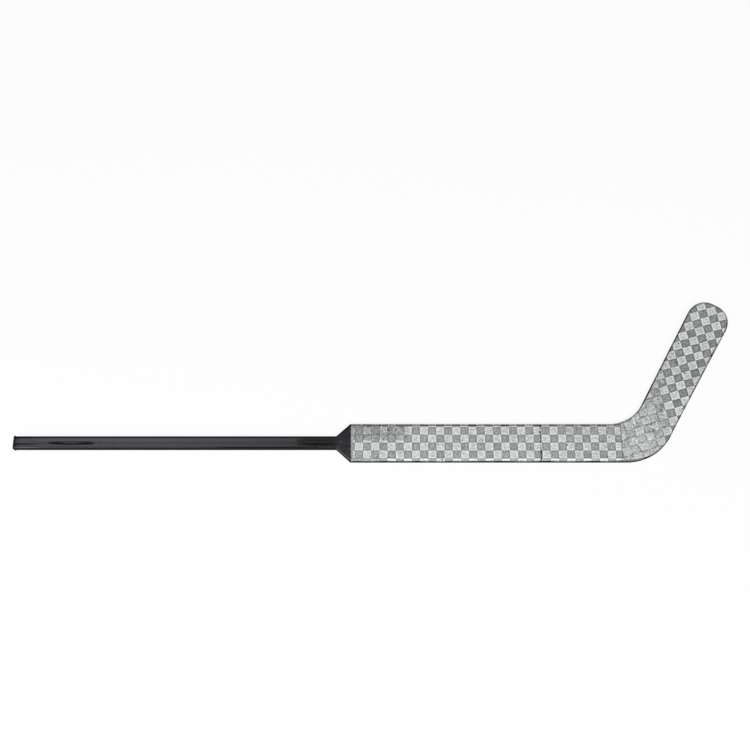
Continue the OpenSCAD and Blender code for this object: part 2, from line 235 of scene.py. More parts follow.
shaft_low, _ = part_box("shaft_tube")
upper_low, upper_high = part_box("paddle_front_skin_upper")
_, lower_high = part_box("paddle_front_skin_lower")
back_low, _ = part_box("paddle_back_skin_upper")
plug_low, plug_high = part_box("butt_plug")


class ShaftSizes(PropertyGroup):
    """Sizes of the shaft and its flared shoulder."""

    butt_x: length("Butt", "End of the shaft at the butt", shaft_low.x)
    mid_z: length("Middle height", "Height of the shaft's centre line", (plug_low.z + plug_high.z) / 2)
    width: length("Width", "Width across the front face", 29 * MM)
    thickness: length("Thickness", "Thickness front to back", 19 * MM)
    edge_r: length("Edge radius", "Radius of the long edges", 4 * MM)
    wall: length("Wall", "Wall of the hollow shaft", 2 * MM)
    end_round: length("End round", "Rounding of the tube's rim at the butt", 0.5 * MM)
    butt_scallop_pos: length("Butt scallop place", "From the butt to its middle", 124 * MM)
    butt_scallop_len: length("Butt scallop length", "Length of the scallop near the butt", 120 * MM)
    butt_scallop_w: length("Butt scallop width", "Width of the scallop near the butt", 9 * MM)
    butt_scallop_depth: length("Butt scallop depth", "Depth of the scallop near the butt", 0.9 * MM)
    throat_scallop_gap: length("Throat scallop gap", "From its end to the paddle", 20 * MM)
    throat_scallop_len: length("Throat scallop length", "Length of the scallop at the throat", 100 * MM)
    throat_scallop_w: length("Throat scallop width", "Width of the scallop at the throat", 16 * MM)
    throat_scallop_depth: length("Throat scallop depth", "Depth of the scallop at the throat", 1.1 * MM)
    crease_y: length("Crease place", "How far the crease lies off the middle of the face", -2.2 * MM)
    crease_w: length("Crease width", "Width of the crease along the face", 8 * MM)
    crease_depth: length("Crease depth", "Depth of the crease along the face", 0.17 * MM)
    shoulder_len: length("Shoulder length", "From the straight shaft to the paddle", 33 * MM)
    shoulder_fillet: length("Shoulder fillet", "Length of the turn from shaft to slope", 1 * MM)
    shoulder_round: length("Shoulder round", "Length of the turn from slope to paddle", 1.5 * MM)


class PaddleSizes(PropertyGroup):
    """Sizes of the paddle."""

    start_x: length("Start", "Where the cloth starts, at the shoulder", upper_low.x)
    splice_x: length("Splice", "Where two lengths of cloth meet", upper_high.x)
    seam_x: length("Heel seam", "Where the paddle's cloth meets the blade's", lower_high.x)
    width: length("Width", "Width of the paddle", upper_high.y - upper_low.y)
    thickness: length("Thickness", "Thickness front to back", upper_high.z - back_low.z)
    edge_r: length("Edge radius", "Radius of the long edges", 7 * MM)
    skin_t: length("Skin", "Thickness of the woven skins and edge strips", 1.5 * MM)


class BladeSizes(PropertyGroup):
    """Sizes of the heel and the blade."""

    angle: angle("Angle", "Angle between the blade and the paddle's line", 60)
    heel_reach: length("Heel reach", "From the seam to the inner corner of the heel", 27.5 * MM)
    heel_inner_r: length("Inner heel radius", "Radius of the inner side of the heel", 90 * MM)
    heel_outer_r: length("Outer heel radius", "Radius of the outer side of the heel", 117 * MM)
    length: length("Length", "From the outer corner of the heel to the toe", 404 * MM)
    width: length("Width at the heel", "Width of the blade next to the heel", 88 * MM)
    toe_w: length("Width at the toe", "Width of the blade at the toe", 96 * MM)
    toe_t: length("Toe thickness", "Thickness of the blade at the toe", 10 * MM)
    curve: length("Curve", "How far the toe curves up", 9 * MM)
    curve_start: length("Curve start", "Length of straight blade before the curve", 60 * MM)
    toe_len: length("Toe length", "Length of the rounded toe", 50 * MM)
    toe_power: amount("Toe fullness", "Fullness of the toe's corners, where 2 is an ellipse", 2.3)
    toe_flat: length("Toe flat", "Width of the flat at the end of the toe", 16 * MM)


class PlugSizes(PropertyGroup):
    """Sizes of the end plug."""

    end_x: length("End", "Outer end of the flange", plug_low.x)
    width: length("Flange width", "Width of the flange", plug_high.y - plug_low.y)
    thickness: length("Flange thickness", "Thickness of the flange, front to back", plug_high.z - plug_low.z)
    flange_t: length("Flange depth", "Depth of the flange along the stick", 3.5 * MM)
    corner_r: length("Flange corner radius", "Radius of the flange's corners", 4 * MM)
    rim_r: length("Rim radius", "Radius of the flange's outer rim", 1.2 * MM)
    dome: length("Dome", "How far the end of the flange is domed", 0.5 * MM)
    stem_x: length("Stem end", "Inner end of the stem", plug_high.x)
    rib_count: IntProperty(name="Ribs", description="Sealing ribs round the stem", default=4, min=2, max=6)
    rib_len: length("Rib length", "Length of one sealing rib", 2.5 * MM)
    rib_h: length("Rib height", "Height of one sealing rib", 1 * MM)
    clearance: length("Rib clearance", "Gap between the ribs and the bore", 0.1 * MM)


class ClothSizes(PropertyGroup):
    """Sizes of the woven cloth and its marks."""

    tow_w: length("Tow width", "Width of one flat tow of the paddle's cloth", 18.2 * MM)
    corner_x: length("Cloth corner X", "A corner of the paddle's checks, along the stick", -293.8 * MM)
    corner_y: length("Cloth corner Y", "A corner of the paddle's checks, across the stick", -0.95 * MM)
    warp_w: length("Blade warp pitch", "Step of the blade's checks along the warp", 20.5 * MM)
    weft_w: length("Blade weft pitch", "Step of the blade's checks along the weft", 18.5 * MM)
    warp_turn: angle("Blade warp angle", "From the blade's line to the warp", -43.5)
    weft_turn: angle("Blade weft angle", "From the blade's line to the weft", 42.1)
    blade_x: length("Blade check X", "Middle of a bright check on the blade, along the stick", 495.3 * MM)
    blade_y: length("Blade check Y", "Middle of a bright check on the blade, across the stick", 301.2 * MM)
    relief: length("Relief", "How far the middle of a check stands above its edges", 0.12 * MM)
    lip_depth: length("Lip depth", "How far a skin dips where it meets the next", 0.35 * MM)
    lip_w: length("Lip width", "Width of the dip where a skin meets the next", 1.2 * MM)
    joint_w: length("Joint line width", "Reach of the dark resin line beside a joint", 4 * MM)
    start_fade: length("Start fade", "Length of plain cloth next to the shoulder", 5 * MM)
    haze_len: length("Haze length", "Length of the hazed patch next to the shoulder", 118 * MM)
    haze_y: length("Haze edge", "Lower edge of the hazed patch", 4.3 * MM)
    haze_low_len: length("Low haze length", "Length of the hazed patch along the bottom edge", 70 * MM)
    haze_low_y: length("Low haze edge", "Upper edge of the hazed patch along the bottom edge", -37 * MM)
    # Length of the top row before the heel seam that is darker and shows its checks less
    top_dim_len: length("Rub length", "Length of the rubbed top row before the heel seam", 140 * MM)
    heel_at: length("Heel border", "How far along the blade its checks half show", 26 * MM)
    heel_fade: length("Heel fade", "Length over which the checks come out of the heel", 130 * MM)
    # The dark lines over the edges are painted shade on the rounds, as well as a dark resin line next to the
    # strips
    top_line: length("Top edge line", "Half the width of the dark line along the top edge", 1.3 * MM)
    top_line_at: length("Top edge line place", "From the top strip to the middle of the dark line", 8.7 * MM)
    bottom_line: length("Bottom edge line", "Width of the dark line over the bottom edge", 5 * MM)
    blade_line: length("Blade inner line", "Width of the dark line over the inner edge at the toe", 4.5 * MM)
    heel_shade_line: length("Heel line", "Extra width of the dark line where the heel rubs", 3.5 * MM)
    outer_line: length("Blade outer line", "Width of the dark line over the blade's outer edge", 7.6 * MM)
    toe_line: length("Toe line", "Width of the dark line over the outer side of the toe", 5.6 * MM)
    tip_line: length("Tip line", "Width of the dark line over the end of the toe", 7.5 * MM)


class Finishes(PropertyGroup):
    """Colours of the materials."""

    lacquer: colour("Lacquer", "Black lacquer of the shaft", "#131416")
    dust: colour("Dust", "Grains of dust in the lacquer", "#7c7c7c")
    # Lighter grey painted on the shoulder's lower half as a painted reflection
    shoulder_sheen: colour("Scuffed lacquer", "Lacquer of the shoulder where it is scuffed", "#313233")
    rubber: colour("Rubber", "Rubber of the end plug", "#17181a")
    strip: colour("Edge strip", "Carbon strip along the edges", "#121314")
    # The resin colour also paints the shade over the rounded edges
    resin: colour("Resin line", "Dark resin where cloths meet and along the edges", "#101113")
    # The checks' light and dark are painted reflection: each tow's fibres catch the light or cross it
    paddle_shaded_checks: colour("Paddle dark", "Dark checks of the paddle", "#9fa1a1")
    paddle_lit_checks: colour("Paddle bright", "Bright checks of the paddle", "#d3d5d5")
    blade_shaded_checks: colour("Blade dark", "Dark checks of the blade", "#8d9091")
    blade_lit_checks: colour("Blade bright", "Bright checks of the blade", "#d9dbd9")
    foam: colour("Foam", "Rigid foam of the cores", "#e3d9bd")
    wood: colour("Wood", "Hardwood of the tenon and blocks", "#caa873")
    web: colour("Web", "Carbon webs inside", "#2c2d30")
    floor: colour("Floor", "Pale floor", "#fafafa")
    room: colour("Room", "Dim room round the stage", "#38393c")
    panel: colour("Panel", "Pale panel overhead", "#b8b9bd")


class StageSizes(PropertyGroup):
    """Places of the camera and the floor."""

    target: FloatVectorProperty(
        name="Target", description="Point that the camera looks at", subtype="XYZ",
        default=(-0.249, 0.1613, 0.01),
    )
    distance: length("Camera distance", "From the target to the camera", 2.4)
    tilt: angle("Camera tilt", "How far the camera leans off square", 18)
    lens: amount("Lens", "Focal length in millimetres", 50.2)
    floor_r: length("Floor radius", "Radius of the flat floor", 9)
    bend_r: length("Backdrop bend", "Radius of the bend from the floor up to the backdrop", 2)
    backdrop_h: length("Backdrop height", "Height of the backdrop", 5.5)


# Shape of the stick

Edge = namedtuple("Edge", "place inward")
SkinPoint = namedtuple("SkinPoint", "place plan arc side")
Scallop = namedtuple("Scallop", "middle shift length width depth bowl start end")


class StickForm:
    """Outline, thickness and sections of the paddle, the heel and the blade."""

    def __init__(self, paddle, blade):
        self.paddle = paddle
        self.blade = blade
        self.half = paddle.width / 2
        self.along = Vector((math.cos(blade.angle), math.sin(blade.angle)))
        self.across = Vector((-math.sin(blade.angle), math.cos(blade.angle)))
        inner_corner = Vector((paddle.seam_x + blade.heel_reach, self.half))
        skew = (blade.width - paddle.width * self.along.x) / self.along.y
        self.outer_corner = Vector((inner_corner.x + skew, -self.half))
        inner_tangent = blade.heel_inner_r * math.tan(blade.angle / 2)
        self.outer_tangent = blade.heel_outer_r * math.tan(blade.angle / 2)
        self.inner_arc_x = inner_corner.x - inner_tangent
        self.outer_arc_x = self.outer_corner.x - self.outer_tangent
        self.seam_turn = math.asin((paddle.seam_x - self.inner_arc_x) / blade.heel_inner_r)
        self.root = inner_corner + inner_tangent * self.along - self.across * blade.width / 2
        outer_root = (self.root - self.outer_corner).dot(self.along)
        self.straight_len = blade.length - outer_root
        self.outer_lead = self.outer_arc_x - paddle.seam_x
        self.outer_arc = blade.heel_outer_r * blade.angle
        self.outer_run = self.outer_lead + self.outer_arc + outer_root - self.outer_tangent

    def run(self, p):
        """How far along the straight blade a plan point lies."""
        return max(0.0, min(self.straight_len, (p - self.root).dot(self.along)))

    def thickness(self, p):
        """Thickness at a plan point: the paddle's, and slimmer towards the toe."""
        slim = 1 - ease(self.run(p) / self.straight_len)
        return mix(self.blade.toe_t, self.paddle.thickness, slim)

    def mid_z(self, p):
        """Height of the middle of the thickness, which rises with the blade's curve."""
        start = self.blade.curve_start
        bent = max(0.0, self.run(p) - start) / (self.straight_len - start)
        return self.paddle.thickness / 2 + self.blade.curve * bent ** 2

    def edge_r(self, p):
        """Radius of the edges, in step with the thickness."""
        return self.paddle.edge_r * self.thickness(p) / self.paddle.thickness

    def inner_heel(self, turn):
        """Inner edge of the heel, by the angle that it has turned."""
        r = self.blade.heel_inner_r
        return Vector((self.inner_arc_x + r * math.sin(turn), self.half + r * (1 - math.cos(turn))))

    def outer_heel(self, d):
        """Outer edge of the heel, by distance from the seam."""
        r = self.blade.heel_outer_r
        if d < self.outer_lead:
            return Vector((self.paddle.seam_x + d, -self.half))
        if d < self.outer_lead + self.outer_arc:
            turn = (d - self.outer_lead) / r
            return Vector((self.outer_arc_x + r * math.sin(turn), -self.half + r * (1 - math.cos(turn))))
        straight = self.outer_tangent + d - self.outer_lead - self.outer_arc
        return self.outer_corner + straight * self.along

    def paddle_pairs(self, start, end):
        """Pairs of points on the top and bottom edge of the paddle."""
        pairs = []
        for x in spread(start, end, CLOTH_STEP, LIP_PLACES):
            turn = math.asin(max(0.0, x - self.inner_arc_x) / self.blade.heel_inner_r)
            top = Vector((x, self.inner_heel(turn).y))
            pairs.append((top, Vector((x, -self.half))))
        return pairs

    def blade_pairs(self):
        """Pairs of points on both edges, from the seam to the toe, and the pair where the toe starts."""
        blade = self.blade
        pairs = []
        for d in spread(0, self.outer_run, CLOTH_STEP, LIP_PLACES):
            f = d / self.outer_run
            pairs.append((self.inner_heel(mix(self.seam_turn, blade.angle, f)), self.outer_heel(d)))
        for run in spread(0, self.straight_len - blade.toe_len, CLOTH_STEP)[1:]:
            pairs.append(self.blade_pair(run, 1))
        toe_start = len(pairs) - 1
        toe_end = math.acos((blade.toe_flat / blade.toe_w) ** (blade.toe_power / 2))
        for i in range(1, TOE_STEPS + 1):
            a = toe_end * i / TOE_STEPS
            run = self.straight_len - blade.toe_len * (1 - math.sin(a) ** (2 / blade.toe_power))
            pairs.append(self.blade_pair(run, math.cos(a) ** (2 / blade.toe_power)))
        return pairs, toe_start

    def blade_pair(self, run, share):
        """Points on both edges of the blade, at a share of its half width."""
        half = mix(self.blade.width, self.blade.toe_w, run / self.straight_len) / 2 * share
        middle = self.root + run * self.along
        return middle + half * self.across, middle - half * self.across

    def edges(self, pairs, toe_start=None):
        """Both edges with the way that they round: across the section, and square to the edge at the toe."""
        chain = [p[0] for p in pairs] + [p[1] for p in reversed(pairs)]
        last = len(chain) - 1
        ways = []
        for i, place in enumerate(chain):
            inward = chain[last - i] - place
            if toe_start is not None and min(i, last - i) > toe_start:
                step = chain[i + 1] - chain[i - 1]
                inward = Vector((step.y, -step.x))
            ways.append(Edge(place, inward.normalized()))
        half = len(pairs)
        return ways[:half], ways[half:][::-1]

    def round_point(self, edge, turn, sense):
        """Point of an edge's quarter round; sense is 1 on the front and -1 on the back."""
        r = self.edge_r(edge.place)
        q = edge.place + edge.inward * (r - r * math.cos(turn))
        rise = self.thickness(q) / 2 - r + r * math.sin(turn)
        return Vector((q.x, q.y, self.mid_z(q) + sense * rise))

    def round_row(self, edge, side, sense):
        """A quarter round from the strip up to the face, with its cloth laid out flat."""
        r = self.edge_r(edge.place)
        row = []
        for k in range(ROUND_STEPS + 1):
            turn = math.pi / 2 * k / ROUND_STEPS
            plan = edge.place + edge.inward * (r - r * (math.pi / 2 - turn))
            row.append(SkinPoint(self.round_point(edge, turn, sense), plan, r * turn, side))
        return row

    def skin_row(self, inner, outer, sense):
        """A skin's outside from the inner edge over the face to the outer edge."""
        up = self.round_row(inner, 1, sense)
        down = self.round_row(outer, -1, sense)[::-1]
        start, end = up[-1].plan, down[0].plan
        face = []
        for k in range(1, FACE_STEPS):
            q = start.lerp(end, k / FACE_STEPS)
            z = self.mid_z(q) + sense * self.thickness(q) / 2
            far = up[-1].arc + min(k, FACE_STEPS - k) / FACE_STEPS * (end - start).length
            face.append(SkinPoint(Vector((q.x, q.y, z)), q, far, 1 if 2 * k < FACE_STEPS else -1))
        return up + face + down

    def toe_rows(self, inner, outer, sense):
        """The skin round the flat end of the toe, from the face down to the strip."""
        up = self.round_row(inner, 1, sense)
        down = self.round_row(outer, -1, sense)
        shares = [k / FACE_STEPS for k in range(FACE_STEPS + 1)]
        rows = []
        for a, b in zip(reversed(up), reversed(down)):
            rows.append([
                SkinPoint(a.place.lerp(b.place, f), a.plan.lerp(b.plan, f), a.arc, a.side) for f in shares
            ])
        return rows


def flare(shaft, paddle, x):
    """How far along the shoulder x is, from 0 to 1."""
    return clip((x - paddle.start_x + shaft.shoulder_len) / shaft.shoulder_len)


def shoulder_half_width(shaft, paddle, x):
    """Half the width of the shaft and its shoulder at x: fillet, slope and round."""
    start = paddle.start_x - shaft.shoulder_len
    rise = (paddle.width - shaft.width) / 2
    slope = math.atan2(rise, shaft.shoulder_len - shaft.shoulder_round)
    fillet_r = shaft.shoulder_fillet / math.tan(slope / 2)
    round_r = shaft.shoulder_round / math.tan(slope / 2)
    into_fillet = x - start + shaft.shoulder_fillet
    before_paddle = paddle.start_x - x
    if into_fillet <= 0:
        return shaft.width / 2
    if into_fillet <= shaft.shoulder_fillet * (1 + math.cos(slope)):
        return shaft.width / 2 + fillet_r - math.sqrt(fillet_r ** 2 - into_fillet ** 2)
    if before_paddle >= shaft.shoulder_round * (1 + math.cos(slope)):
        return shaft.width / 2 + (x - start) * math.tan(slope)
    return paddle.width / 2 - round_r + math.sqrt(round_r ** 2 - max(0, before_paddle) ** 2)


def rounded_rectangle(width, height, r):
    """Points round a centred rectangle with round corners, from the right side on."""
    points = []
    for quarter, (sx, sy) in enumerate(((1, 1), (-1, 1), (-1, -1), (1, -1))):
        for k in range(ROUND_STEPS + 1):
            a = math.pi / 2 * (quarter + k / ROUND_STEPS)
            points.append((sx * (width / 2 - r) + r * math.cos(a), sy * (height / 2 - r) + r * math.sin(a)))
    return points


class PaddleCloth:
    """How the paddle's cloth lies: checks square to the stick, plain next to the shoulder."""

    def __init__(self, cloth, paddle):
        self.cloth = cloth
        self.paddle = paddle
        self.lips = (paddle.start_x, paddle.splice_x, paddle.seam_x)

    def weave(self, plan, sense):
        """Checks along and across, and how strongly they show; below 0 their light and dark swap."""
        c = self.cloth
        u = (plan.x - c.corner_x) / c.tow_w
        v = (plan.y - c.corner_y) / c.tow_w
        from_start = plan.x - self.paddle.start_x
        show = past(from_start, c.start_fade, c.start_fade)
        if sense > 0:
            soft_end = HAZE_END_TOWS * c.tow_w
            top_row = past(plan.y, c.corner_y + c.tow_w, HAZE_EDGE)
            haze = mix(MIDDLE_HAZE, TOP_ROW_HAZE, top_row)
            haze *= past(plan.y, c.haze_y, HAZE_EDGE) * before(from_start, c.haze_len, soft_end)
            low_haze = LOW_HAZE * before(plan.y, c.haze_low_y, HAZE_EDGE)
            low_haze *= before(from_start, c.haze_low_len, c.tow_w)
            # The top row before the heel seam is darker and shows its checks less
            rub = TOP_ROW_DIM * top_row * past(plan.x, self.paddle.seam_x - c.top_dim_len, soft_end)
            show *= (1 - haze) * (1 - low_haze) * (1 - rub)
        return u, v, show

    def line(self, point):
        """Distance into the dark line of the edge, painted shade over its round, where 1 is its far side."""
        c = self.cloth
        if point.side > 0:
            return max(FAINT_LINE, abs(point.arc - c.top_line_at) / c.top_line)
        return point.arc / (c.bottom_line + self.heel_shade(point.plan))

    def heel_shade(self, plan):
        """Extra width of the painted shade line under the heel."""
        away = abs(plan.x - self.paddle.seam_x - HEEL_SHADE_AT)
        return self.cloth.heel_shade_line * before(away, HEEL_SHADE_REACH, HEEL_SHADE_REACH)

    def joint(self, plan):
        """How near the heel seam and the splice are: 1 on them, and 0 out of their reach."""
        places = (self.paddle.seam_x, self.paddle.splice_x)
        near = [clip(1 - abs(plan.x - x) / self.cloth.joint_w) for x in places]
        return (*near, 0)

    def lift(self, weave, plan):
        """How far the skin stands up over the middle of a check, or dips at a joint."""
        c = self.cloth
        crown = c.relief * math.sqrt(abs(math.sin(math.pi * weave[0]) * math.sin(math.pi * weave[1])))
        gap = min(abs(plan.x - x) for x in self.lips)
        return crown - c.lip_depth * (1 - ease(gap / c.lip_w))


class BladeCloth(PaddleCloth):
    """How the blade's cloth lies: checks on the bias, faint round the heel."""

    def __init__(self, cloth, paddle, form):
        super().__init__(cloth, paddle)
        self.form = form
        self.lips = (paddle.seam_x,)
        warp = form.blade.angle + cloth.warp_turn
        weft = form.blade.angle + cloth.weft_turn
        self.warp = Vector((math.cos(warp), math.sin(warp))) * cloth.warp_w
        self.weft = Vector((math.cos(weft), math.sin(weft))) * cloth.weft_w

    def weave(self, plan, sense):
        c = self.cloth
        away = plan - Vector((c.blade_x, c.blade_y))
        size = self.warp.cross(self.weft)
        u = away.cross(self.weft) / size + 0.5
        v = self.warp.cross(away) / size - 0.5
        off = plan - self.form.root
        out = off.dot(self.form.along) - HEEL_LEAN * off.dot(self.form.across)
        return u, v, mix(HEEL_SHOW, 1, past(out, c.heel_at, c.heel_fade))

    def line(self, point):
        # The dark lines over the blade's edges and toe are painted shade on their rounds
        c, form = self.cloth, self.form
        left = form.straight_len - form.run(point.plan)
        if point.side > 0:
            inner_line = c.blade_line * math.sqrt(form.thickness(point.plan) / form.blade.toe_t)
            return point.arc / mix(c.tip_line, inner_line, past(left, TIP_REACH, TIP_REACH))
        bent = ease((point.plan.x - self.paddle.seam_x) / form.outer_run)
        outer_line = mix(c.bottom_line, c.outer_line, bent) + self.heel_shade(point.plan)
        return point.arc / mix(c.toe_line, outer_line, past(left, TOE_REACH, TOE_CHANGE))


# Meshes


def new_object(name, bm, material):
    """A smooth object from the mesh, in the scene."""
    for face in bm.faces:
        face.smooth = True
    mesh = bpy.data.meshes.new(name)
    bm.to_mesh(mesh)
    bm.free()
    mesh.set_sharp_from_angle(angle=SHARP_TURN)
    mesh.materials.append(material)
    made = bpy.data.objects.new(name, mesh)
    bpy.context.scene.collection.objects.link(made)
    return made


def new_piece(name, bm, material, body, node):
    """Makes the mesh a piece that rides on its body and stands for its CAD node."""
    piece = new_object(name, bm, material)
    low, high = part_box(node)
    for axis in range(3):
        places = [vert.co[axis] for vert in piece.data.vertices]
        if max(abs(min(places) - low[axis]), abs(max(places) - high[axis])) > FIT:
            raise RuntimeError(f"{name} does not fit over {node}")
    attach(piece, body)
    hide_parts(node)


def bridge(bm, a, b, around):
    """Faces between two rows of points, closed round where they are rings."""
    count = len(a)
    for k in range(count if around else count - 1):
        n = (k + 1) % count
        bm.faces.new((a[k], a[n], b[n], b[k]))


def loft(rings, closed=False, ends=(0, -1)):
    """A mesh through rings of points: closed round like a hollow tube, or with these end rings filled."""
    bm = bmesh.new()
    made = [[bm.verts.new(p) for p in ring] for ring in rings]
    for a, b in zip(made, made[1:] + made[:1] if closed else made[1:]):
        bridge(bm, a, b, around=True)
    if not closed:
        for end in ends:
            bm.faces.new(made[end])
    bmesh.ops.recalc_face_normals(bm, faces=bm.faces)
    return bm


def skin_mesh(grids, cloth, sense, depth):
    """A woven skin: grids of points, merged, crowned over each check, and closed into a shell."""
    bm = bmesh.new()
    weave = bm.verts.layers.float_vector.new("weave")
    line = bm.verts.layers.float.new("line")
    joint = bm.verts.layers.float_vector.new("joint")
    lifts = {}
    for grid in grids:
        made = []
        for row in grid:
            verts = []
            for point in row:
                vert = bm.verts.new(point.place)
                vert[weave] = cloth.weave(point.plan, sense)
                vert[line] = cloth.line(point)
                vert[joint] = cloth.joint(point.plan)
                lifts[vert] = cloth.lift(vert[weave], point.plan)
                verts.append(vert)
            made.append(verts)
        for a, b in zip(made, made[1:]):
            bridge(bm, a, b, around=False)
    bmesh.ops.remove_doubles(bm, verts=bm.verts, dist=SAME_PLACE)
    bmesh.ops.recalc_face_normals(bm, faces=bm.faces)
    if sense * sum(f.normal.z * f.calc_area() for f in bm.faces) < 0:
        bmesh.ops.reverse_faces(bm, faces=bm.faces)
    bm.normal_update()
    normals = {v: v.normal.copy() for v in bm.verts}
    for vert, normal in normals.items():
        vert.co += normal * lifts[vert]
    thicken(bm, normals, depth)
    return bm


def thicken(bm, normals, depth):
    """Closes a sheet into a shell of that depth behind its faces."""
    faces = list(bm.faces)
    rim = [edge.link_loops[0] for edge in bm.edges if edge.is_boundary]
    corners = [(loop.vert, loop.link_loop_next.vert) for loop in rim]
    inside = {v: bm.verts.new(v.co - n * depth, v) for v, n in normals.items()}
    for face in faces:
        bm.faces.new([inside[v] for v in reversed(face.verts)])
    for a, b in corners:
        bm.faces.new((b, a, inside[a], inside[b]))


# Materials


def empty_tree(owner):
    """The node tree of a material, a lamp or a world, with nothing in it."""
    owner.use_nodes = True
    owner.node_tree.nodes.clear()
    return owner.node_tree


def add(tree, kind, inputs=None, out=0, ramp=None, **settings):
    """Adds a shader node, sets or links its inputs, and returns one of its outputs.

    The kind is the node's type without the ShaderNode that every one of them starts with.
    """
    node = tree.nodes.new("ShaderNode" + kind)
    for name, value in settings.items():
        setattr(node, name, value)
    for key, value in (inputs or {}).items():
        if isinstance(value, bpy.types.NodeSocket):
            tree.links.new(value, node.inputs[key])
        else:
            node.inputs[key].default_value = value
    for i, (place, shade) in enumerate(ramp or []):
        stops = node.color_ramp.elements
        stop = stops[i] if i < len(stops) else stops.new(place)
        stop.position = place
        stop.color = (*shade, 1)
    return node.outputs[out] if node.outputs else node


def new_material(name):
    """An empty node material and its tree."""
    material = bpy.data.materials.new(name)
    return material, empty_tree(material)


def finish(tree, inputs):
    """Ends a material with a principled shader."""
    shader = add(tree, "BsdfPrincipled", inputs)
    add(tree, "OutputMaterial", {"Surface": shader})


Tows = namedtuple("Tows", "show flat laid pale own rim fibre mottle")


def laid_tows(tree, tow_w):
    """What a cloth's mesh says of its tows, and the patterns in them.

    In order: how strongly the checks show, the place in tows, the same with the tows' wander, which tow is
    on top, a number for each check, how near its rim is, its fibres and its mottling.
    """
    place = add(tree, "Attribute", out="Vector", attribute_name="weave")
    show = add(tree, "SeparateXYZ", {0: place}, out="Z")
    flat = add(tree, "VectorMath", {0: place, 1: (1, 1, 0)}, operation="MULTIPLY")

    # Tows wander a little as they are laid
    wander = add(tree, "TexNoise", {"Vector": flat, "Scale": tow_w / (30 * MM), "Detail": 1}, out="Color")
    wander = add(tree, "VectorMath", {0: wander, 1: (0.5, 0.5, 0.5)}, operation="SUBTRACT")
    wander = add(tree, "VectorMath", {0: wander, "Scale": 0.1}, operation="SCALE")
    laid = add(tree, "VectorMath", {0: flat, 1: wander}, operation="ADD")

    cell = add(tree, "VectorMath", {0: laid}, operation="FLOOR")
    steps = add(tree, "VectorMath", {0: cell, 1: (1, 1, 0)}, out="Value", operation="DOT_PRODUCT")
    pale = add(tree, "Math", {0: steps, 1: 2}, operation="FLOORED_MODULO")
    own = add(tree, "TexWhiteNoise", {"Vector": cell}, out="Value", noise_dimensions="3D")
    inside = add(tree, "VectorMath", {0: laid}, operation="FRACTION")
    off = add(tree, "VectorMath", {0: inside, 1: (0.5, 0.5, 0.5)}, operation="SUBTRACT")
    off = add(tree, "VectorMath", {0: off}, operation="ABSOLUTE")
    off_u = add(tree, "SeparateXYZ", {0: off}, out="X")
    rim = add(tree, "Math", {0: off_u, 1: off_u.node.outputs["Y"]}, operation="MAXIMUM")

    # Fibres run with their tow; real ones are too fine to show, so bundles of them are drawn
    fine = tow_w / (1.7 * MM)
    long = tow_w / (13 * MM)
    grain = add(
        tree, "Mix", {0: pale, VECTOR_A: (fine, long, 1), VECTOR_B: (long, fine, 1)},
        out=VECTOR_OUT, data_type="VECTOR",
    )
    fibre_at = add(tree, "VectorMath", {0: laid, 1: grain}, operation="MULTIPLY")
    fibre = add(tree, "TexNoise", {"Vector": fibre_at, "Scale": 1, "Detail": 2})
    mottle = add(
        tree, "TexNoise", {"Vector": laid, "Scale": tow_w / (4 * MM), "Detail": 3, "Roughness": 0.65}
    )
    return Tows(show, flat, laid, pale, own, rim, fibre, mottle)


